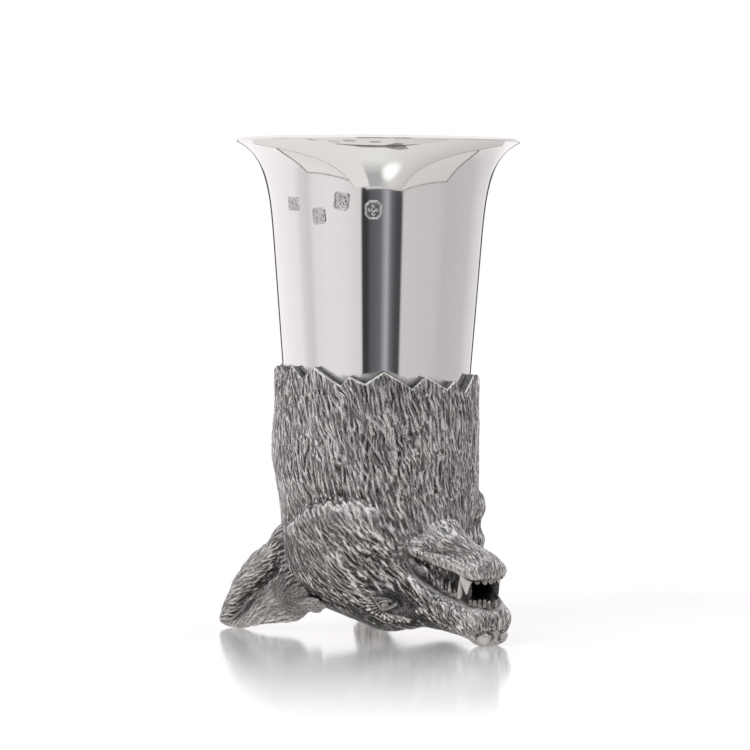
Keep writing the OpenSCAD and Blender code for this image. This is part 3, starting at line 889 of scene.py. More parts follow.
# %% Skin of the mask
MASK_VOXEL, BORE_STOP_LOW, BORE_STOP_HIGH = 0.8, 37, 73.5
MASK_ROUNDS, MASK_WEIGHT, NECK_SHARE, TIP_SHARE = 9, 0.5, 0.35, 0.2
STOPS = {"hollow": ((-2, 0, 28), (21, 22, 17)), "mouth slot": ((13, 0, 21.5), (13, 6.5, 4.5)),
         "throat": ((22, 0, 27.5), (6.6, 9.3, 6.4))}
PAIRED_STOPS = {"socket": ((20.6, 15.6, 10.7), (2.9, 2.9, 2.9)),
                "side of the mouth": ((39.8, 4.7, 14.2), (3.2, 1.1, 4.2))}
fillers = [drum(NECK_R, NECK_R, BORE_STOP_LOW, BORE_STOP_HIGH)]
fillers += [ball(*stop) for stop in STOPS.values()]
fillers += [ball(to_side(place, side), radii) for side in (-1, 1) for place, radii in PAIRED_STOPS.values()]
mask = clay("fox_mask", "mask", fillers, MASK_VOXEL)
p, links = places(mask), wires(mask)
fwd, side, up = p.T
rounding = MASK_WEIGHT * between((NECK_SHARE, 1), fade(up, 35, 42))
rounding *= between((1, TIP_SHARE), rise(fwd, 37, 42))
p = averaged(p, links, MASK_ROUNDS, rounding)
move_to(mask, p)
print("mask skin:", len(p), "vertices; box", p.min(axis=0).round(1), p.max(axis=0).round(1))

# %% [markdown]
# The large forms come first. Each stroke is a drawn line, its half width, its height and the share of it
# that fades at each end; each dab is a place, its radius and its height. The places are those of one half
# of the head.

# %% Large forms of the mask
RUFF = [(-7, 26, 27.5), (-3.5, 28, 28), (-0.5, 28.8, 30.3), (5, 28.4, 33.5), (11.8, 26.8, 36), (18, 22.5, 36),
        (21.5, 19.5, 33)]
CHEEK = [(21.5, 20.1, 31.5), (21.2, 16.5, 25), (23.4, 12.9, 19), (29.6, 10.5, 14.6), (35, 8.8, 12.2)]
TROUGH = [(25, 18, 31), (25.5, 13.5, 25.5), (27, 10.5, 20), (30, 9.5, 17)]
MOUTH_CORNER = [(24.3, 9.6, 21.8), (27, 9.0, 20.2), (29.5, 8.5, 18.6)]
PARTING = [(22.3, 15.5, 60.5), (21.8, 16, 56.8), (23, 14.7, 53.1), (23.4, 14.3, 49.4), (23.4, 14.3, 45.2),
           (23, 14.7, 41)]
TEMPLE = [(-10, 22, 14), (-3, 21.5, 13), (7, 20.5, 11.5), (14, 19.5, 9.5)]
BROW = [(20, 15, 5.2), (24, 11, 5.2), (28, 9, 6)]
THROAT = [(25, 0, 33.8), (25, 5.6, 31.2), (25, 9.8, 27)]
HEAD_STROKES = {
    "ruff": (RUFF, 2.6, 0.7, 0.1),
    "groove over the ruff": (shifted(RUFF[:5], -0.4, -0.5, 3.4), 3.0, -0.7, 0.2),
    "cheek": (CHEEK, 3.0, 0.8), "trough": (TROUGH, 4.5, 0.9), "parting": (PARTING, 1.6, 0.45, 0.1),
    "temple": (TEMPLE, 3.0, 0.5), "brow": (BROW, 2.4, 0.3), "throat": (THROAT, 4.6, 1.0, 0),
    "corner of the mouth": (MOUTH_CORNER, 2.4, 1.0, 0.1)}
HEAD_DABS = {
    "hollow before the eye": ((27, 13, 11.3), 5.5, -0.9), "socket": ((21.5, 16.3, 10), 5.0, -0.3),
    "upper lip": ((39, 8.2, 10.0), 5.5, 0.7), "front of the lip": ((44.5, 5.5, 8.5), 5.0, 0.5),
    "brow": ((23.5, 10, 4.6), 6.0, 1.0), "stop": ((26.5, 2.5, 4.4), 7.0, -1.1),
    "forehead": ((17, 0, 2.4), 8.0, -0.9), "bridge of the nose": ((33, 2, 3.6), 6.0, -0.4)}
NAPE, NAPE_DEPTH, NAPE_SWELL = 131, 2.3, 0.5
FAR_NOTCH, FAR_CHEEK, UNEVEN = 1.4, 1.3, 0.4
TUFTS, TUFT_H, BROW_HANG, THROAT_DROP = 15, 1.1, 1.3, 2.2
q, n = folded(p), outward(mask)
fwd, side, up = q.T
lift = brushed(q, HEAD_STROKES, HEAD_DABS)
# The nape draws in over the ears and swells a little above that.
turn = np.degrees(np.arctan2(side, fwd))
lift -= NAPE_DEPTH * hump(turn, NAPE, 26) * rise(up, 5, 15) * fade(up, 28, 46)
lift += NAPE_SWELL * hump(turn, NAPE, 40) * hump(up, 49, 8)
# The far cheek has a notch under its ruff and stands out below it.
far_turn = np.degrees(np.arctan2(p[:, 1], p[:, 0]))
lift -= FAR_NOTCH * hump(far_turn, 49, 22) * hump(up, 29.5, 2.5)
lift += FAR_CHEEK * hump(far_turn, 46, 22) * fade(up, 24.5, 27.5) * rise(up, 14, 20)
# The neck is a little uneven.
lift += UNEVEN * wave(p, 11, 3) * rise(up, 26, 34)
p = p + n * lift[:, None]
# The ruff ends in tufts, the brow hangs over the eye, and the throat drops behind the jaw.
near, along = line_reach(q, snapped(q, RUFF))
tuft = np.abs((along * TUFTS + 0.35 * np.sin(along * 40)) % 1 * 2 - 1) * 2 - 1
p[:, 2] += TUFT_H * tuft * hump(near, 0, 1.8) * rise(along, 0.1, 0.25)
p[:, 2] -= BROW_HANG * hump(fwd, 22.5, 7) * hump(side, 9, 6) * fade(up, 6, 10)
p[:, 2] -= THROAT_DROP * rise(fwd, 25.5, 28) * rise(up, 24, 28) * fade(side, 8, 12)
move_to(mask, p)
print("large forms: lift", lift.min().round(2), "to", lift.max().round(2), "mm")

# %% [markdown]
# The skin is divided once for the fur. The faces round the eyes and on the nose are divided once more,
# because lids and nostrils are the finest carving.

# %% Finer skin
EYE_AREA, EYE_AREA_R, NOSE_AREA_FWD, NOSE_AREA_UP = (22.6, 15.6, 9.6), 6.5, 42.5, 5.5
modified(mask, "SUBSURF", levels=1, render_levels=1)
middles = folded(face_places(mask))
eye_faces = np.linalg.norm(middles - EYE_AREA, axis=1) < EYE_AREA_R
nose_faces = (middles[:, 0] > NOSE_AREA_FWD) & (middles[:, 2] < NOSE_AREA_UP)
with editing(mask, eye_faces | nose_faces):
    bpy.ops.mesh.subdivide(number_cuts=1)
p, links = places(mask), wires(mask)
print("mask:", len(p), "vertices after dividing")

# %% [markdown]
# The eye is drawn on the skin around it, in millimetres along the eye (u, towards the nose) and across it
# (v, towards the forehead): the opening between the lids, the thin rim of the upper lid, the fold under the
# lower one, and an arc of short tufts for the eyebrow.

# %% Eyes on the mask
EYE_SPOT, EYE_RUN, EYE_DEPTH = (22.1, 16.1, 9.9), np.array([0.71, -0.67, -0.2]), 5
LID_MIDDLE, LID_HALF, LID_END, LID_SINK = 0.3, 1.9, 1.8, 0.6
BARE_U, BARE_V, BARE_LONG, BARE_LOW, BARE_EDGE = 2.2, -0.2, 1.6, 1.2, (3.1, 4.3)
q, n = folded(p), outward(mask)
eye_vertex = np.argmin(((q - np.array(EYE_SPOT)) ** 2).sum(axis=1))
EYE = q[eye_vertex]
eye_out = unit(averaged(n, links, 12)[eye_vertex] * [1, np.sign(p[eye_vertex, 1]), 1])
eye_run = unit(EYE_RUN - eye_out * (EYE_RUN @ eye_out))
eye_up = np.cross(eye_out, eye_run)
u, v, w = ((q - EYE) @ axis for axis in (eye_run, eye_up, eye_out))
on_eye = np.stack([u, v, 0 * u], axis=1)
close = np.abs(w) < EYE_DEPTH


def lid_gap(u):
    """Half height of the opening between the lids, along the eye."""
    return np.clip(1 - ((u - LID_MIDDLE) / LID_HALF) ** 2, 0, 1) ** 0.7


def drawn(line, width, height):
    """A crest or groove along a line drawn on the eye's own plane, given as (u, v) points."""
    d = line_reach(on_eye, [(a, b, 0) for a, b in line])[0]
    return np.where(close, height * np.clip(1 - (d / width) ** 2, 0, 1) ** 2, 0)


LID_RIM = [(-3.2, -1.2), (-2.1, 0.1), (-1.2, 1.1), (-0.1, 1.7), (1.0, 1.3), (2.1, 0.6), (3.0, -0.2)]
OVER_RIM = [(a * 1.25, b * 1.25 + 0.5) for a, b in LID_RIM]
LOWER_LID = [(-2.4, -1.2), (-1.2, -1.5), (0.2, -1.6), (1.6, -1.1)]
POUCH = [(-3.3, -1.5), (-1.7, -2.2), (0.3, -2.3), (2.2, -1.7), (3.6, -0.5)]
EYE_LINES = {
    "lower lid": (LOWER_LID, 1.0, 0.4), "fold under it": (POUCH, 0.9, -0.5),
    "upper rim": (LID_RIM, 0.55, 0.35), "groove over it": (OVER_RIM, 0.9, -0.25),
    "crease at the corner": ([(1.0, 2.0), (2.0, 1.7)], 0.7, 0.3)}
gap = np.hypot(np.clip(np.abs(u - LID_MIDDLE) - LID_END, 0, None), np.abs(v) - lid_gap(u))
in_eye = close & (np.abs(v) < lid_gap(u))
lift = np.where(in_eye, -LID_SINK * rise(gap, 0, 0.4), 0)
lift += sum(drawn(*line) for line in EYE_LINES.values())
eye_skin = close * fade(np.hypot((u - BARE_U) / BARE_LONG, BARE_LOW * (v - BARE_V)), *BARE_EDGE)
print("eye at", EYE.round(1), "facing", eye_out.round(2), "run", eye_run.round(2))

# %% Eyebrow
EYEBROW = [(-6.2, -0.6), (-4.9, -0.1), (-3.8, 1.2), (-2.4, 2.4), (-0.8, 3.0), (0.9, 3.5), (2.5, 3.7),
           (4.0, 3.4), (5.4, 2.9)]
BROW_TUFTS, BROW_CENTRE, BROW_W, BROW_LIFT = 17, np.array([0.4, -0.6]), 0.52, 0.4
BROW_LONG, BROW_SHORTER = 1.35, 0.7
brow_hair = np.zeros(len(q))
for k, t in enumerate(np.linspace(0, len(EYEBROW) - 1.001, BROW_TUFTS)):
    middle = part_way(EYEBROW, t)
    half = unit(middle - BROW_CENTRE) * (BROW_LONG - BROW_SHORTER * k / (BROW_TUFTS - 1))
    brow_hair = np.maximum(brow_hair, drawn([middle - half, middle + half], BROW_W, 1.0))
lift += BROW_LIFT * brow_hair
print("eyebrow of", BROW_TUFTS, "tufts")

# %% [markdown]
# The nostrils, the edge of the nose, the gum and three furrows behind the eye are finer strokes. They move
# the skin together with the carving of the eye.

# %% Nose and lips
NOSTRIL = [(46.4, 2.8, 3.6), (47.0, 1.6, 3.3), (47.3, 0.95, 2.4), (47.2, 1.2, 1.6), (47.0, 2.0, 1.25)]
PAD_EDGE = [(47.1, 0.5, 4.2), (46.9, 1.8, 4.0), (46.2, 3.6, 3.8), (45.2, 4.9, 3.0), (44.4, 5.4, 2.0)]
GUM = [(27, 9.0, 19.3), (31, 8.6, 16.4), (35, 8.0, 14.0), (39, 6.8, 12.2), (43, 5.0, 10.9), (45.6, 1.8, 10.2)]
GUM_RIDGE = [(26.5, 8.2, 21.6), (28.5, 7.9, 19.4), (31, 7.3, 16.8), (33.5, 6.7, 14.6)]
FURROWS = [
    [(-0.6, 21.4, 13.7), (6.2, 20.9, 12.8), (12.8, 20.3, 11.9), (17, 19, 11)],
    [(-3.4, 20.5, 12.1), (1.7, 20, 11.1), (7.8, 19.5, 10.3), (12.6, 18.8, 9.4)],
    [(0, 18.5, 9), (7.9, 18.2, 8.2), (13.2, 17.9, 7.6)]]
FURROW_W, FURROW_DEPTH = 0.8, 0.4
NOSE_STROKES = {
    "nostril": (NOSTRIL, 0.65, -0.8, 0.1), "edge of the nose": (PAD_EDGE, 0.65, -0.55, 0.1),
    "gum": (GUM, 0.7, -0.15, 0.1), "ridge of the gum": (GUM_RIDGE, 0.9, 0.5)}
NOSE_DABS = {"wing": ((46.2, 3.4, 2.2), 2.4, 0.45), "tip": ((47.3, 0, 3.0), 1.2, 0.2)}
lift += brushed(q, NOSE_STROKES, NOSE_DABS)
for furrow in FURROWS:
    lift += stroke(q, furrow, FURROW_W, -FURROW_DEPTH)
move_to(mask, p + n * lift[:, None])
p = places(mask)
print("nose and lips: lift", lift.min().round(2), "to", lift.max().round(2), "mm")

# %% [markdown]
# The fur runs away from a point before the nose, and turns upright over the neck and the throat. Its locks
# are shorter, finer and shallower on the muzzle. Some places have none: round the eye, in the mouth, on the
# gum and the nose, and partly in the trough and underneath.

# %% Fur on the mask
NOSE_POINT, NECK_RUN, MASK_SEED = np.array([50, 0, -14]), np.array([-0.18, -0.2, 1]), 11
SLOW_TURN, QUICK_TURN, FUR_MIDDLE = 0.3, 0.25, 0.45
UPRIGHT, LESS_FORWARD, MORE_ABOVE, MIDDLE_UP, UPRIGHT_ENDS = 0.53, 0.022, 0.012, 24, (0.04, 0.85)
# Each is given for the neck, with what is taken off it on the head and again on the muzzle.
PITCH, LENGTH, DEPTH = (1.15, 0.1, 0.15), (6.0, 1.4, 2.2), (0.36, 0.04, 0.1)
q, n = folded(p), unit(averaged(outward(mask), links, 3))
fwd, side, up = q.T
throat = rise(fwd, 19, 25)
upright = UPRIGHT - LESS_FORWARD * fwd + MORE_ABOVE * (up - MIDDLE_UP)
upright = np.clip(upright, *UPRIGHT_ENDS) * (1 - throat)
upright = np.maximum(upright + throat * rise(up, 24, 38), rise(up + 2 * wave(p, 8, 5), 31, 42))
run = between((unit(p - NOSE_POINT), NECK_RUN), upright[:, None])
run = laid(run, n, SLOW_TURN * wave(p, 9, 1) + QUICK_TURN * wave(p, 3.5, 2))
mouth = rise(up, 10.5, 12) * rise(fwd, 27, 30) * fade(side, 5.8, 6.6)
muzzle = rise(fwd, 22, 34) * fade(up, 20, 26)
pitch, length, deep = (
    neck - head * (1 - upright) - snout * muzzle for neck, head, snout in (PITCH, LENGTH, DEPTH))
hair = fur(p, run, n, pitch, length, MASK_SEED)
bare_parts = {
    "eye": eye_skin, "mouth": mouth, "underside": 0.5 * rise(-n[:, 2], 0.3, 0.8) * fade(up, 6, 12),
    "corner of the mouth": stroke(q, MOUTH_CORNER, 2.0, 1.2, 0.1), "trough": stroke(q, TROUGH[1:], 2.6, 0.6),
    "gum": stroke(q, GUM, 1.3, 1.2, 0.05), "ridge of the gum": stroke(q, GUM_RIDGE, 1.5, 1.3, 0.05),
    "nose": rise(fwd, 43.8, 45.0) * fade(up, 3.6, 4.2),
    "floor of the mouth": rise(n[:, 2], 0.5, 0.8) * rise(fwd, 26, 29) * fade(up, 20, 22)}
bare = np.clip(sum(bare_parts.values()), 0, 1)
p = p + n * (deep * (hair - FUR_MIDDLE) * (1 - bare))[:, None]
move_to(mask, p)
print("fur:", hair.mean().round(2), "mean height,", (hair < 0.1).mean().round(2), "of the skin in grooves")

# %% [markdown]
# How bright each place is rubbed is worked out before anything is cut. The eyebrow, the ruff, the parting
# and the front of the muzzle are paler; the mouth and the skin round the eye are darker, and the underside,
# which faces down, is darkened with painted shade.

# %% Tone of the carving
RUFF_TUFTS, TUFT_W = 21, 0.75
UNDER_EYE = [(-2.5, -3.2), (0, -3.3), (3.5, -2.6), (6.5, -1.5)]
ruff_hair = np.zeros(len(q))
for t in np.linspace(0.5, len(RUFF) - 1.4, RUFF_TUFTS):
    edge = part_way(RUFF, t)
    tip, root = edge + [-0.4, 0, 1.0 + 0.7 * math.sin(17 * t)], edge + [1.3, -0.3, -2.6]
    ruff_hair = np.maximum(ruff_hair, stroke(q, [tip, edge, root], TUFT_W, 1.0, 0.2))
# The underside entry is painted shade on faces that look down.
darker = {
    "underside": 0.3 * rise(-n[:, 2], 0.0, 0.6) * fade(p[:, 2], 8, 16) * fade(p[:, 0], 34, 42),
    "all below the neck": 0.1 * fade(p[:, 2], 26, 34), "round the eye": 0.13 * eye_skin,
    "under the eye": drawn(UNDER_EYE, 1.9, 0.15), "mouth": 0.4 * mouth,
    "over the ruff": stroke(q, shifted(RUFF, -0.6, 0, 2.4), 1.5, 0.12, 0.1),
    "beside the parting": stroke(q, shifted(PARTING, 0.8, -1.2, -0.5), 1.6, 0.12, 0.1)}
paler = {
    "eyebrow": 0.28 * brow_hair, "ruff": 0.4 * ruff_hair, "nose": dab(q, (46.2, 3.6, 2.1), 2.4, 0.25),
    "front of the muzzle": 0.08 * rise(q[:, 0], 38, 44), "ridge of the gum": stroke(q, GUM_RIDGE, 0.9, 0.35),
    "upper lid": drawn(LID_RIM, 0.6, 0.12), "parting": stroke(q, PARTING, 1.0, 0.35, 0.1)}
tone = tones(mask, hair, bare, darker, paler)
print("tone:", np.percentile(tone, [5, 25, 50, 75, 95]).round(2))

# %% [markdown]
# The collar's zigzag edge was sawn and filed after casting, so it stays crisp: a cutter with the zigzag for
# its underside takes off the top of the neck, and its outer part slopes down to leave the filed chamfer.
# The zigzag is given as the angle from the muzzle and the height of each point.

# %% The collar's edge
ZIGZAG = [
    (-112, 70.3), (-104.5, 68.5), (-96.5, 70.5), (-88, 67.5), (-78.5, 70.5), (-61.5, 65.9), (-56.5, 68.3),
    (-47.5, 66.5), (-37, 69.6), (-21, 65.1), (-13, 68.2), (2, 64.9), (7.5, 66.9), (18, 63.8), (30.5, 68.4),
    (44, 65.5), (52, 68), (66, 66), (80, 70), (92, 67.2), (101, 70), (116, 67), (131, 71), (145, 67.8),
    (156, 70.6), (172, 67.5), (187, 71.2), (200, 68), (212, 70.4), (226, 67.8), (236, 70.2), (242, 68.6)]
ROUND = ZIGZAG + [(ZIGZAG[0][0] + 360, ZIGZAG[0][1])]
CHAMFER_R, CHAMFER_SLOPE = NECK_R - 0.5, 1.0
CUTTER_IN, CUTTER_OUT, CUTTER_TOP, CUTTER_STEPS = 14, NECK_R + 4, 84, 4


def edge_z(degrees):
    """Height of the collar's edge at angles from the muzzle."""
    turn, high = zip(*ROUND)
    return np.interp((np.asarray(degrees) - turn[0]) % 360 + turn[0], turn, high)


def collar_cutter():
    """A ring over the collar, with five corners in its section."""
    turns = sorted({a + (b - a) * k / CUTTER_STEPS
                    for (a, _), (b, _) in zip(ROUND, ROUND[1:]) for k in range(CUTTER_STEPS)})
    corners = []
    for turn, high in zip(turns, edge_z(turns)):
        c, s = math.cos(math.radians(turn)), math.sin(math.radians(turn))
        slope_end = high - (CUTTER_OUT - CHAMFER_R) * CHAMFER_SLOPE
        for r, z in ((CUTTER_IN, high), (CHAMFER_R, high), (CUTTER_OUT, slope_end),
                     (CUTTER_OUT, CUTTER_TOP), (CUTTER_IN, CUTTER_TOP)):
            corners.append(spot(r * c, r * s, z))
    faces = []
    for i in range(len(turns)):
        here, there = 5 * i, 5 * ((i + 1) % len(turns))
        faces += [[here + k, here + (k + 1) % 5, there + (k + 1) % 5, there + k] for k in range(5)]
    mesh = bpy.data.meshes.new("collar_cutter")
    mesh.from_pydata(corners, [], faces)
    obj = placed("collar_cutter", mesh)
    with editing(obj):
        bpy.ops.mesh.normals_make_consistent(inside=False)
    return obj


print("collar:", len(ZIGZAG) // 2, "points")

# %% [markdown]
# The bore, the hollow and the mouth slot are cut after the collar. The cuts leave more triangles than the
# part may have, so the mask is thinned a little. The new vertices then take the carving's values from the
# nearest old one.

# %% Cutting
TRIANGLES = 190_000
BORE_LOW, BORE_HIGH, BORE_GAP = 41, 90, 0.14
HOLLOW, MOUTH_SLOT = ((-2, 0, 27), (19, 20, 16)), ((22, 0, 19.0), (16, 4.4, 2.6))
INSIDE, INSIDE_GAP = (0.03, 0.0, 0.0), 0.5


def cut(obj, cutter):
    modified(obj, "BOOLEAN", operation="DIFFERENCE", solver="MANIFOLD", object=cutter)
    bpy.data.objects.remove(cutter)


def triangle_count(obj):
    return sum(len(face.vertices) - 2 for face in obj.data.polygons)


def carried(obj, old_places, values):
    """Values of the carving at the vertices of a cut mesh; new inner faces are dark and bare."""
    tree = nearest(old_places)
    hits = [tree.find(place)[1:] for place in places(obj)]
    return np.array([INSIDE if gap > INSIDE_GAP else values[k] for k, gap in hits])


whole = places(mask)
cut(mask, collar_cutter())
cut(mask, drum(wall_r(BORE_LOW) + BORE_GAP, wall_r(BORE_HIGH) + BORE_GAP, BORE_LOW, BORE_HIGH))
cut(mask, ball(*HOLLOW))
cut(mask, ball(*MOUTH_SLOT))
before = triangle_count(mask)
modified(mask, "DECIMATE", ratio=min(1.0, TRIANGLES / before))
kept = carried(mask, whole, np.stack([tone, upright, 1 - bare], axis=1))
leave(mask, "tone", kept[:, 0])
comb(mask, kept[:, 1], kept[:, 2])
print("mask after cutting:", before, "triangles, thinned to", triangle_count(mask))

# %% [markdown]
# The filed faces are those that lie on the cutter's flat and sloping undersides. Their borders are marked
# sharp, so that the smooth shading doesn't round them.

# %% Filed edge of the collar
FILED_GAP, FILED_IN, FILED_OUT = 0.08, BORE_R - 0.75, NECK_R + 1.5
middles = face_places(mask)
reach = np.hypot(middles[:, 0], middles[:, 1])
turns = np.degrees(np.arctan2(middles[:, 1], middles[:, 0]))
expected = edge_z(turns) - np.clip(reach - CHAMFER_R, 0, None) * CHAMFER_SLOPE
filed = (np.abs(middles[:, 2] - expected) < FILED_GAP) & (reach > FILED_IN) & (reach < FILED_OUT)
flat_top = filed & (reach < CHAMFER_R)
pick(mask)
bpy.ops.object.shade_smooth()
for group in (filed, flat_top):
    with editing(mask, group):
        bpy.ops.mesh.region_to_loop()
        bpy.ops.mesh.mark_sharp()
print("filed faces:", int(filed.sum()), "of them on the flat top", int(flat_top.sum()))

# %% [markdown]
# The mirror shows the collar just over its edge, so a grey blurred band is painted over the collar's edge: a
# painted reflection and painted shade of the collar, darker in colour and rougher. How deep each vertex of
# the wall lies under the band's upper border is left on the beaker for its finish.

# %% Grey band over the collar: painted reflection and shade
BAND_OVER, BAND_EASE, OUTSIDE_GAP, NO_BAND, BAND_ROUGH = 1.9, np.linspace(-9, 9, 13), 0.3, -50, 0.36
BAND_SCALE, BAND_CLOUD, PAINTED_SHADE_DEPTH, BLUR_DEPTH = 600.0, (-0.45, 0.25), (0.3, 2.8), (0.0, 1.2)
PAINTED_SHADE_STOPS = [(0.0, 1.0), (0.3, 0.7), (1.0, 0.3)]
b = places(beaker)
b_turn, b_reach = np.degrees(np.arctan2(b[:, 1], b[:, 0])), np.hypot(b[:, 0], b[:, 1])
border = np.mean([edge_z(b_turn + step) for step in BAND_EASE], axis=0) + BAND_OVER
on_outside = b_reach > np.array([wall_r(z) for z in b[:, 2]]) - OUTSIDE_GAP
leave(beaker, "band", np.where(on_outside, border - b[:, 2], NO_BAND))
tree = polished.node_tree
inputs = tree.nodes["Principled BSDF"].inputs
band = node(tree, "ShaderNodeAttribute", attribute_name="band").outputs["Fac"]
cloud = spread(tree, grain(tree, object_place(tree), BAND_SCALE, 3.0), 0.3, 0.7, *BAND_CLOUD)
sunk = maths(tree, "ADD", band, cloud)
# The collar's painted reflection and shade, multiplied into the mirror's colour.
grey = ramp(tree, spread(tree, sunk, *PAINTED_SHADE_DEPTH), PAINTED_SHADE_STOPS)
plain = inputs["Base Color"].links[0].from_socket
tree.links.new(blend_colours(tree, 1.0, plain, grey, "MULTIPLY"), inputs["Base Color"])
plain = inputs["Roughness"].links[0].from_socket
blurred = spread(tree, sunk, *BLUR_DEPTH, 0.0, BAND_ROUGH)
tree.links.new(maths(tree, "ADD", plain, blurred), inputs["Roughness"])
print("band on", int((on_outside & (border > b[:, 2])).sum()), "vertices of the wall")

# %% [markdown]
# ## Finishes of the head
# The head was darkened with liver of sulphur and rubbed back: dark stays in the cuts and the high parts
# come up silver. The carving left a "tone" value on each vertex, and the patina group turns it into colour
# and roughness. Single hairs are finer than the skin's faces, so the group draws them: a noise stretched
# along the run of the fur, which leans a little from upright on the neck and elsewhere runs away from a
# given centre. It bends with a slow noise so that no two strokes are quite parallel. Specks and slow
# patches break up the tone.

# %% Patina group
SWAY_SCALE, SWAY, HAIR_SCALE, SPECK_SCALE, PATCH_SCALE = 160.0, 0.0035, 1900.0, 2300.0, 130.0
LEAN_AXIS, LEAN, UP_STRETCH = (0.18, 0.2, 0.0), math.radians(15), (1.0, 1.0, 0.1)
RAY_STRETCH, RAY_START = 0.15, 0.022
HAIR_GAIN, SPECK_GAIN, PATCH_GAIN, SPECK_RELIEF, DARK_ROUGH, PALE_ROUGH = 1.2, 0.18, 0.07, 0.35, 0.5, 0.27
HAIR_STOPS = [(0.3, 0.26), (0.42, 0.42), (0.54, 0.52), (0.63, 1.0)]
RUBBED_STOPS = [
    (0.0, (0.04, 0.038, 0.036)), (0.12, (0.1, 0.095, 0.091)), (0.3, (0.22, 0.21, 0.204)),
    (0.5, (0.4, 0.385, 0.375)), (0.7, (0.62, 0.6, 0.585)), (1.0, (0.88, 0.86, 0.84))]
patina = bpy.data.node_groups.new("patina", "ShaderNodeTree")
patina.interface.new_socket("Centre", in_out="INPUT", socket_type="NodeSocketVector")
for name, kind in (("Color", "Color"), ("Roughness", "Float"), ("Relief", "Float")):
    patina.interface.new_socket(name, in_out="OUTPUT", socket_type="NodeSocket" + kind)
centre = patina.nodes.new("NodeGroupInput").outputs["Centre"]
tone_value = node(patina, "ShaderNodeAttribute", attribute_name="tone").outputs["Fac"]
comb_value = node(patina, "ShaderNodeAttribute", attribute_name="comb").outputs["Vector"]
combed = node(patina, "ShaderNodeSeparateXYZ", {0: comb_value}).outputs
where = object_place(patina)
sway = vectors(patina, "SUBTRACT", grain(patina, where, SWAY_SCALE, 1.0, "Color"), (0.5, 0.5, 0.5))
bent = vectors(patina, "MULTIPLY_ADD", sway, (SWAY, SWAY, SWAY), where)
lean = {"Vector": bent, "Axis": LEAN_AXIS, "Angle": LEAN}
leant = node(patina, "ShaderNodeVectorRotate", lean, rotation_type="AXIS_ANGLE").outputs["Vector"]
up_place = vectors(patina, "MULTIPLY", leant, UP_STRETCH)
off = vectors(patina, "SUBTRACT", bent, centre)
far = maths(patina, "MULTIPLY_ADD", vectors(patina, "LENGTH", off, out="Value"), RAY_STRETCH, RAY_START)
ray = {0: vectors(patina, "NORMALIZE", off), "Scale": far}
ray_place = node(patina, "ShaderNodeVectorMath", ray, operation="SCALE").outputs["Vector"]
up_hair, ray_hair = (grain(patina, place, HAIR_SCALE, 2.0) for place in (up_place, ray_place))
not_up = maths(patina, "SUBTRACT", 1.0, combed["X"])
hair_lines = maths(patina, "ADD", product(patina, up_hair, combed["X"]), product(patina, ray_hair, not_up))
hair_lines = maths(patina, "SUBTRACT", ramp(patina, hair_lines, HAIR_STOPS), 0.5)
hair_lines = product(patina, hair_lines, combed["Y"])
specks, patches = grain(patina, where, SPECK_SCALE, 3.0), grain(patina, where, PATCH_SCALE, 2.0)
rubbed = maths(patina, "MULTIPLY_ADD", hair_lines, HAIR_GAIN, tone_value)
rubbed = maths(patina, "ADD", rubbed, spread(patina, specks, 0.25, 0.75, -SPECK_GAIN, SPECK_GAIN))
rubbed = maths(patina, "ADD", rubbed, spread(patina, patches, 0.3, 0.7, -PATCH_GAIN, PATCH_GAIN))
rough = spread(patina, rubbed, 0.1, 0.9, DARK_ROUGH, PALE_ROUGH)
relief = maths(patina, "ADD", hair_lines, product(patina, specks, SPECK_RELIEF))
group_out = patina.nodes.new("NodeGroupOutput")
for name, socket in (("Color", ramp(patina, rubbed, RUBBED_STOPS)), ("Roughness", rough), ("Relief", relief)):
    patina.links.new(socket, group_out.inputs[name])
print("patina group:", len(patina.nodes), "nodes")

# %% [markdown]
# The oxidised silver reads the group. The chamfer that the file left on the collar is bright, and the flat
# top of the collar is rougher and painted dark with shade, where it looks into the gap against the beaker.

# %% Oxidised silver
HAIR_BUMP, HAIR_HEIGHT = 0.6, 0.00022


def oxidised(name, centre):
    """Oxidised silver whose hairs run away from a centre, given as (forward, side, up)."""
    made, tree, inputs = metal(name)
    rub = node(tree, "ShaderNodeGroup", {}, node_tree=patina)
    rub.inputs["Centre"].default_value = spot(*centre)
    bump = {"Height": rub.outputs["Relief"], "Strength": HAIR_BUMP, "Distance": HAIR_HEIGHT}
    tree.links.new(rub.outputs["Color"], inputs["Base Color"])
    tree.links.new(rub.outputs["Roughness"], inputs["Roughness"])
    tree.links.new(node(tree, "ShaderNodeBump", bump).outputs["Normal"], inputs["Normal"])
    return made


old_silver = oxidised("oxidised_silver", NOSE_POINT)
print("oxidised silver:", old_silver.name)

# %% Filed silver
def stained(name, scale, detail, stops, rough):
    """Silver in the tones of a fine noise, rougher where it is dark."""
    made, tree, inputs = metal(name)
    mark = grain(tree, object_place(tree), scale, detail)
    tree.links.new(ramp(tree, mark, stops), inputs["Base Color"])
    tree.links.new(spread(tree, mark, 0.3, 0.7, *rough), inputs["Roughness"])
    return made


FILE_SCALE = 1400.0
filed_silver = stained(
    "filed_silver", FILE_SCALE, 2.0, [(0.3, (0.5, 0.49, 0.48)), (0.7, (0.9, 0.885, 0.87))], (0.34, 0.2))
# The flat top is painted dark: painted shade in the gap between the collar and the beaker.
painted_shade_top = silver(
    "painted_shade_top", (0.22, 0.214, 0.209), (0.1, 0.097, 0.095), (0.3, 0.42), (FILE_SCALE,) * 3, 0.2)
dressed(mask, old_silver, filed_silver, painted_shade_top)
mask.data.polygons.foreach_set("material_index", filed.astype(np.int32) + flat_top)
finished.append((mask, ["mask"], "oxidised_silver"))
print("head finishes:", [finish.name for finish in mask.data.materials])

# %% [markdown]
# ## The lower jaw
# The jaw stands out from the throat and its fur ends at a plain lip. It is carved from its own CAD solid,
# with a ball at its root so that it runs into the throat without a step. Its top is pressed down to a flat
# snout.

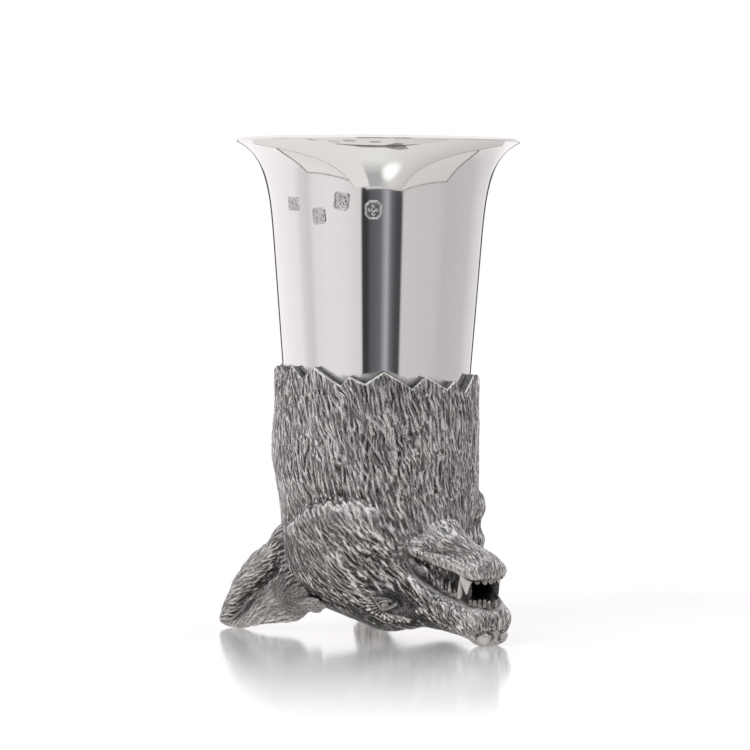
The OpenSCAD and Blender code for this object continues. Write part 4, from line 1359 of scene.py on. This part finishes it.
# %% Jaw
JAW_VOXEL, JAW_ROUNDS, JAW_SEED, JAW_PITCH, JAW_HAIR, JAW_FUR = 0.5, 12, 21, 0.85, 3.4, 0.28
JAW_BACK, JAW_SPREAD, JAW_TURN, JAW_MIDDLE, JAW_UPRIGHT = 0.3, 0.22, 0.35, 0.5, 0.95
JAW_ROOT, JAW_HOLLOW = ((19, 0, 27.5), (7.4, 8.2, 8)), (28, 7, 29.5)
JAW_LIP = [(25.5, 9.8, 22.8), (28, 9.2, 21.9), (34.1, 8.2, 20.4), (38.8, 7.4, 19.2), (42.5, 5.8, 17.3),
           (44, 3, 16.8), (44.3, 0, 16.8)]
JAW_STROKES = {"lip": (JAW_LIP, 1.5, 0.45, 0)}
JAW_DABS = {"corner of the mouth": ((25.8, 10, 24), 2.6, 0.6), "hollow of the root": (JAW_HOLLOW, 3.6, -0.5)}
JAW_POINT, JAW_THICKER, JAW_UNEVEN = np.array([60, 0, 15]), 0.25, 0.3
LIP_DROP, TOP_DROP, SNOUT_DROP, TIP_DROP = 0.3, 1.2, 1.5, 0.7
jaw = clay("jaw", "lower_jaw", [ball(*JAW_ROOT)], JAW_VOXEL)
links = wires(jaw)
p = averaged(places(jaw), links, JAW_ROUNDS)
move_to(jaw, p)
lift = JAW_THICKER + brushed(folded(p), JAW_STROKES, JAW_DABS)
p = p + outward(jaw) * (lift + JAW_UNEVEN * wave(p, 6, 7))[:, None]
fwd, side, up = p.T
p[:, 2] -= LIP_DROP * rise(fwd, 39.5, 44) * fade(up, 18, 22)
p[:, 2] -= TOP_DROP * rise(fwd, 25, 29) * fade(fwd, 37, 42) * rise(up, 22, 27)
p[:, 2] -= (SNOUT_DROP * hump(fwd, 32, 5.5) + TIP_DROP * hump(fwd, 39.5, 2.5)) * rise(up, 21.5, 28)
move_to(jaw, p)
n, same = outward(jaw), np.ones(len(p))
run = np.stack([-JAW_BACK * same, JAW_SPREAD * np.tanh(side / 3), same], axis=1)
run = laid(run, n, JAW_TURN * wave(p, 3, 8))
bare = np.clip(rise(-n[:, 2], 0.55, 0.8) + dab(folded(p), JAW_HOLLOW, 3.4, 1.1), 0, 1)
hair = fur(p, run, n, JAW_PITCH * same, JAW_HAIR * same, JAW_SEED)
p = p + n * (JAW_FUR * (hair - JAW_MIDDLE) * (1 - bare))[:, None]
move_to(jaw, p)
# The jaw's underside, facing down, is darkened with painted shade.
darker, paler = {"underside": 0.4 * rise(-n[:, 2], 0.3, 0.8)}, {"all over": 0.03}
leave(jaw, "tone", tones(jaw, hair, bare, darker, paler))
comb(jaw, JAW_UPRIGHT * fade(averaged(n, links, 4)[:, 2], 0.2, 0.5), 1 - bare)
print("jaw:", len(p), "vertices; box", p.min(axis=0).round(1), p.max(axis=0).round(1))

# %% [markdown]
# ## The ears
# The cup stands on its ears and nose. One ear is carved, with a broad furred rim behind, one soft valley
# along it and a rounded lobe with long strokes in front; the other is its mirrored copy with a mesh of its
# own. Fillers round out its root, and its front end is tucked in under the cheek.

# %% Forms of an ear
EAR_VOXEL, EAR_ROUNDS = 0.55, 5
EAR_FILLERS = {
    "root": ((-13, -17, 20), (6, 4.5, 6)), "back": ((-15.2, -19.2, 23.4), (3.7, 3.1, 4.8)),
    "top of the back": ((-13.2, -17.6, 27.5), (3.1, 2.7, 4.7)),
    "front": ((-11.5, -17.6, 12.5), (7, 4.2, 6.5)), "front end": ((-6.8, -16.4, 7.5), (6.4, 3.4, 3.1))}
VALLEY = [(-13.5, 20.3, 19.3), (-15, 20.5, 17.9), (-19.7, 20.8, 14.5), (-24.6, 21.4, 10.9),
          (-27.2, 22.3, 7.1), (-29.7, 23.2, 3.4)]
INNER = [(-13.5, 19.6, 16), (-15.5, 20, 14.5), (-20.1, 20.4, 11.7), (-25.3, 21.4, 8.4), (-28.3, 22.5, 4.7)]
CREASE = [(-14, 19.6, 10.5), (-19.5, 20, 7), (-25, 22, 3.4)]
EAR_STROKES = {"valley": (VALLEY, 3.2, -0.9, 0.15), "inner edge": (INNER, 1.6, 0.5),
               "crease": (CREASE, 1.0, -0.2)}
EAR_DABS = {"lobe": ((-16, 20, 9), 7, 0.9), "middle of the lobe": ((-22, 21, 5.5), 6, 0.7),
            "end of the lobe": ((-26.5, 22.5, 3.5), 4.5, 0.4)}
BACK_WAY, BACK_SWELL, EAR_UNEVEN = np.array([-0.656, -0.755]), 0.9, 0.2
FOOT_H, TUCK_IN, TUCK_DOWN, END_UP = 0.5, 5.0, 1.3, 1.3
ear = clay("left_ear", "ear_left", [ball(*filler) for filler in EAR_FILLERS.values()], EAR_VOXEL)
p = places(ear)
ground = p[:, 2].copy()
p = averaged(p, wires(ear), EAR_ROUNDS)
p[:, 2] = np.where(ground < FOOT_H, ground, p[:, 2])
move_to(ear, p)
n, up = outward(ear), p[:, 2]
lift = rise(-n[:, 1], 0.2, 0.6) * brushed(folded(p), EAR_STROKES, EAR_DABS)
lift += BACK_SWELL * hump(up, 18, 6) * rise(n[:, :2] @ BACK_WAY, 0.2, 0.7) + EAR_UNEVEN * wave(p, 4, 12)
p = p + n * (lift * rise(up, 0.4, 1.5))[:, None]
fwd, side, up = p.T
tuck = rise(fwd, -24, -12) * fade(fwd, -10, -5) * fade(up, 4, 9)
p[:, 1] += TUCK_IN * tuck
p[:, 2] += END_UP * rise(fwd, -15, -9) * fade(up, 5, 10) - TUCK_DOWN * tuck
move_to(ear, p)
modified(ear, "SUBSURF", levels=1, render_levels=1)
print("ear forms: lift", lift.min().round(2), "to", lift.max().round(2), "mm")

# %% [markdown]
# The locks run along the rim. On the lobe they are longer, closer and shallower, and the front end of the
# ear has few. The valley and the crease are darker, the inner edge is paler, and the front end, tucked under
# the cheek, is darkened with painted shade.

# %% Fur on an ear
EAR_TIP, EAR_SEED, EAR_SHARE, EAR_MIDDLE, EAR_GAIN = np.array([-33, -26, 0.5]), 31, 0.3, 0.4, 0.58
LOBE = [(-12, 20, 11), (-19, 20.5, 7.5), (-26, 22.4, 3)]
# Each is given for the rim and for the lobe.
EAR_RUN = np.array([0.61, 0.7, 0.37]), np.array([0.46, 0.53, 0.71])
EAR_TURN, EAR_PITCH, EAR_HAIR = (0.4, 0.15), (0.95, 0.85), (3.0, 4.8)
EAR_FUR, EAR_BARE, EAR_LINES = (0.42, 0.2), (0.0, 0.5), (0.4, 0.3)
SOFT_FUR, SOFT_BARE, SOFT_LINES, MOST_BARE = 0.25, 0.6, 0.5, 0.85
p, n = places(ear), outward(ear)
fwd, side, up = p.T
lobe = fade(line_reach(folded(p), LOBE)[0], 3.1, 4.6) * rise(-n[:, 1], 0.3, 0.7)
soft = rise(fwd, -19, -12) * fade(up, 10, 14)
run = laid(between(EAR_RUN, lobe[:, None]), n, between(EAR_TURN, lobe) * wave(p, 2.5, 9))
hair = fur(p, run, n, between(EAR_PITCH, lobe), between(EAR_HAIR, lobe), EAR_SEED, EAR_SHARE)
deep = between(EAR_FUR, lobe) * between((1, SOFT_FUR), soft)
p = p + n * (deep * (hair - EAR_MIDDLE) * rise(up, 0.3, 1.2))[:, None]
p[:, 2] = np.maximum(p[:, 2], 0.0)
move_to(ear, p)
q = folded(p)
bare = np.clip(between(EAR_BARE, lobe) + SOFT_BARE * soft, 0, MOST_BARE)
# The front entry is painted shade where the ear tucks under the cheek.
darker = {
    "valley": stroke(q, VALLEY, 3.0, 0.16, 0), "crease": stroke(q, CREASE, 1.4, 0.1),
    "front": 0.16 * rise(p[:, 0], -19, -10), "lobe": 0.05 * lobe}
paler = {"inner edge": stroke(q, INNER, 1.3, 0.16), "all over": 0.02}
leave(ear, "tone", tones(ear, hair, bare, darker, paler, EAR_GAIN))
comb(ear, np.zeros(len(p)), between(EAR_LINES, lobe) * between((1, SOFT_LINES), soft))
print("ear:", len(p), "vertices; box", p.min(axis=0).round(1), p.max(axis=0).round(1))

# %% [markdown]
# The jaw and the ears have the same finish as the mask, with hairs that run away from a centre of their
# own.

# %% Jaw and ears finished
def mirrored(obj, name):
    """A copy for the other side, with its own mesh and its faces turned out again."""
    copy = placed(name, obj.data.copy())
    copy.data.name = name
    copy.scale.x = -1
    with editing(baked(copy)):
        bpy.ops.mesh.normals_make_consistent(inside=False)
    return copy


for piece in (jaw, ear):
    pick(piece)
    bpy.ops.object.shade_smooth()
ear_right = mirrored(ear, "right_ear")
furred = [(jaw, ["lower_jaw"], JAW_POINT), (ear, ["ear_left"], EAR_TIP),
          (ear_right, ["ear_right"], EAR_TIP * [1, -1, 1])]
for piece, nodes, centre in furred:
    dressed(piece, oxidised("oxidised_" + piece.name, centre))
    finished.append((piece, nodes, "oxidised_silver"))
    print(piece.name, "in", piece.data.materials[0].name)

# %% [markdown]
# ## The eyes
# Each eye is a small ball with a raised iris ring between two carved lids. At this size the lids are finer
# than the skin's faces, so they are modelled as tapered tubes that lie on the skin.

# %% Eyes
STAIN = [(0.3, (0.08, 0.076, 0.072)), (0.5, (0.28, 0.268, 0.256)), (0.72, (0.68, 0.66, 0.64))]
BALL_R, BALL_SINK, IRIS_R, IRIS_OUT, IRIS_ON, IRIS_T = 1.15, 0.55, 0.62, 0.28, 0.25, 0.1
TUBE_STEPS, SKIN_REACH, SKIN_NEAR, LID_ROUNDS, LID_ENDS, LID_TONE = 24, 7, 6, 4, 0.45, 0.62
LOWER_EDGE = [(-1.75, -0.15), (-1.2, -0.75), (-0.2, -1.1), (1.0, -0.95), (1.9, -0.2)]
UPPER_EDGE = [(-1.2, 0.8), (-0.2, 1.2), (0.9, 0.95), (1.9, 0.15), (2.6, -0.35)]
LIDS = [(LOWER_EDGE, 0.08, 0.2), (UPPER_EDGE, 0.06, 0.14), (LID_RIM, 0.05, 0.14)]
bright = stained("bright_silver", 700.0, 3.0, STAIN, (0.4, 0.24))


def tube(points, radii, finish):
    """A tapered tube through points of the head, made a mesh."""
    curve = bpy.data.curves.new("tube", "CURVE")
    curve.dimensions, curve.bevel_depth, curve.bevel_resolution, curve.use_fill_caps = "3D", MM, 3, True
    spline = curve.splines.new("POLY")
    spline.points.add(len(points) - 1)
    for place, point, radius in zip(spline.points, points, radii):
        place.co = (*spot(*point), 1)
        place.radius = radius
    pick(placed("tube", curve))
    bpy.ops.object.convert(target="MESH")
    return dressed(bpy.context.object, finish)


def eye(name, side):
    """The ball, the iris ring and the lids of one eye."""
    flip = np.array([1, side, 1])
    seat, out, run, up = EYE * flip, eye_out * flip, eye_run * flip, eye_up * flip
    skin = places(mask) - seat
    skin = skin[np.linalg.norm(skin, axis=1) < SKIN_REACH]
    flat = np.stack([skin @ run, skin @ up], axis=1)

    def depth(point):
        """How far out the skin lies at a (u, v) point of the eye's own plane."""
        return (skin[np.argsort(((flat - point) ** 2).sum(axis=1))[:SKIN_NEAR]] @ out).mean()

    def lid(line, lift, radius):
        """A tube on the skin along (u, v) points, thinner at its ends."""
        line = np.array([part_way(line, t) for t in np.linspace(0, len(line) - 1, TUBE_STEPS + 1)])
        deep = np.array([depth(point) for point in line])
        for _ in range(LID_ROUNDS):
            deep[1:-1] = (deep[:-2] + 2 * deep[1:-1] + deep[2:]) / 4
        points = seat + line[:, :1] * run + line[:, 1:] * up + (deep + lift)[:, None] * out
        swell = np.sin(np.linspace(0, math.pi, len(line)))
        return tube(points, radius * between((LID_ENDS, 1), swell), old_silver)

    steps = {"segments": 2 * TUBE_STEPS, "ring_count": TUBE_STEPS}
    middle = spot(*(seat - out * BALL_SINK))
    eyeball = added(bpy.ops.mesh.primitive_uv_sphere_add, radius=BALL_R * MM, location=middle, **steps)
    dressed(eyeball, bright)
    turns = np.linspace(0, math.tau, TUBE_STEPS + 1)[:, None]
    ring = seat + out * IRIS_OUT + IRIS_R * (run * (np.cos(turns) + IRIS_ON) + up * np.sin(turns))
    parts = [eyeball, tube(ring, [IRIS_T] * len(ring), bright)] + [lid(*line) for line in LIDS]
    for part in parts:
        leave(part, "tone", np.full(len(part.data.vertices), LID_TONE))
    obj = baked(joined(parts))
    bpy.ops.object.shade_smooth()
    obj.name = obj.data.name = name
    return obj


for name, name_of_node, side in (("left_eye", "eye_left", -1), ("right_eye", "eye_right", 1)):
    finished.append((eye(name, side), [name_of_node], "bright_silver"))
    print(name, len(finished[-1][0].data.vertices), "vertices")

# %% [markdown]
# ## The teeth
# Long canines like blades, rounded incisors and pointed cheek teeth. Each tooth starts as a cylinder, is
# cut into rings and then shaped: flattened, tapered and rounded at its end.

# %% One tooth
TOOTH_SIDES, TOOTH_CUTS, TOOTH_WELD, TOOTH_CREASE = 16, 7, 2e-6, math.radians(50)


def tooth(root, tip, size, facing, blunt):
    """A tooth from its root to its tip; size is its width and thickness, its flat face looks to facing."""
    root, tip, facing = np.array(root, float), np.array(tip, float), np.array(facing, float)
    axis = unit(tip - root)
    facing = unit(facing - axis * (facing @ axis))
    across = np.cross(axis, facing)
    rod = {"vertices": TOOTH_SIDES, "radius": 1.0, "depth": 1.0, "end_fill_type": "TRIFAN"}
    obj = added(bpy.ops.mesh.primitive_cylinder_add, **rod)
    with editing(obj):
        bpy.ops.mesh.subdivide(number_cuts=TOOTH_CUTS)
    c = read(obj.data.vertices, "co").astype(float)
    t = np.clip(c[:, 2:] + 0.5, 0, 1)
    slim = np.clip(1 - t ** (1.5 + 3 * blunt), 0, 1) ** (0.9 - 0.4 * blunt) * (1 - 0.3 * (1 - blunt) * t) / 2
    wide, thick = size
    shaped = root + (tip - root) * t + across * c[:, :1] * wide * slim + facing * c[:, 1:2] * thick * slim
    obj.data.vertices.foreach_set("co", from_head(shaped).astype(np.float32).ravel())
    obj.data.update()
    with editing(obj):
        bpy.ops.mesh.remove_doubles(threshold=TOOTH_WELD)
        bpy.ops.mesh.normals_make_consistent(inside=False)
    return obj


def tooth_row(name, name_of_node, teeth, finish):
    """Teeth joined into one piece, in its finish."""
    obj = baked(joined(teeth))
    obj.name = obj.data.name = name
    bpy.ops.object.shade_smooth_by_angle(angle=TOOTH_CREASE)
    dressed(obj, finish)
    finished.append((obj, [name_of_node], "bright_silver"))
    print(name, len(teeth), "teeth,", len(obj.data.vertices), "vertices")


# %% [markdown]
# The incisors stand on two arcs round the front of the mouth, at even angles. The canines are given by
# root, tip, size and bluntness for the right half of the mouth. The cheek teeth follow the lips, given by
# (forward, side, up) of the upper tips.

# %% Teeth
UPPER_ARC, LOWER_ARC = (12, -82.5, 15, 40.8, 3.9, 5.0), (6, -65, 26, 39.9, 3.7, 4.6)
UPPER_TIP, UPPER_BOW, UPPER_UNEVEN, UPPER_H, UPPER_OUT = 11.75, 0.9, 0.3, 2.2, 0.3
LOWER_TIP, LOWER_BOW, LOWER_ROOT = 15.3, 0.5, 18.6
UPPER_SIZE, LOWER_SIZE, UPPER_BLUNT, LOWER_BLUNT = (1.35, 1.2), (2.0, 1.4), 0.8, 0.9
CANINES = [((41.5, 5.6, 19.4), (41.7, 5.4, 12.7), (3.9, 1.9), 0.12),
           ((39.8, 5.7, 11.4), (39.7, 5.7, 18.4), (2.3, 1.6), 0.15)]
CANINE_OUT, CHEEK_BLUNT = (0.75, 0.66, 0), 0.2
CHEEK_TEETH = [(36.6, 6.9, 16.6), (34.4, 7.4, 17.3), (32.0, 8.0, 17.8), (29.8, 8.3, 19.0)]
canines, upper, lower = [], [], []


def arc(count, first, step, middle, ahead, aside):
    """Places at even angles round the front of the mouth: number, (forward, side) and the way out."""
    for k in range(count):
        turn = math.radians(first + step * k)
        c, s = math.cos(turn), math.sin(turn)
        yield k, middle + ahead * c, aside * s, c, s


for side in (-1, 1):
    for *ends, size, blunt in CANINES:
        root, tip, out = (to_side(place, side) for place in (*ends, CANINE_OUT))
        canines.append(tooth(root, tip, size, out, blunt))
for k, x, y, c, s in arc(*UPPER_ARC):
    high = UPPER_TIP + UPPER_BOW * (1 - c) + UPPER_UNEVEN * math.sin(5 * k)
    root, tip = (x, y, high - UPPER_H), (x + UPPER_OUT * c, y + UPPER_OUT * s, high)
    upper.append(tooth(root, tip, UPPER_SIZE, (c, s, 0), UPPER_BLUNT))
for _, x, y, c, s in arc(*LOWER_ARC):
    root, tip = (x, y, LOWER_ROOT), (x, y, LOWER_TIP + LOWER_BOW * (1 - c))
    lower.append(tooth(root, tip, LOWER_SIZE, (c, s, 0), LOWER_BLUNT))
for side in (-1, 1):
    for k, (x, y, z) in enumerate(CHEEK_TEETH):
        root, tip = (x, side * (y - 0.1), z - 3.4), (x + 0.3, side * (y + 0.1), z)
        upper.append(tooth(root, tip, (1.6 - 0.1 * k, 1.1), (0, side, 0), CHEEK_BLUNT))
        root, tip = (x - 1.0, side * (y - 0.2), z + 4.4 - 0.2 * k), (x - 0.8, side * (y + 0.1), z + 0.9)
        lower.append(tooth(root, tip, (1.7, 1.1), (0, side, 0), CHEEK_BLUNT))
BLADE_GRAIN = (800.0, 800.0, 300.0)
blade = silver("tooth_silver", (0.78, 0.76, 0.74), (0.5, 0.485, 0.47), (0.3, 0.42), BLADE_GRAIN, 0.2)
tooth_row("canines", "canine_teeth", canines, blade)
tooth_row("upper_row", "upper_teeth", upper, bright)
tooth_row("lower_row", "lower_teeth", lower, bright)

# %% [markdown]
# ## The pieces on the body
# Each piece rides on the one body, and the CAD nodes that it stands for are hidden.

# %% Ride and replace
def stand_for(piece, nodes):
    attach(piece, "root")
    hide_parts(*nodes)


for piece, nodes, slot in finished:
    stand_for(piece, nodes)
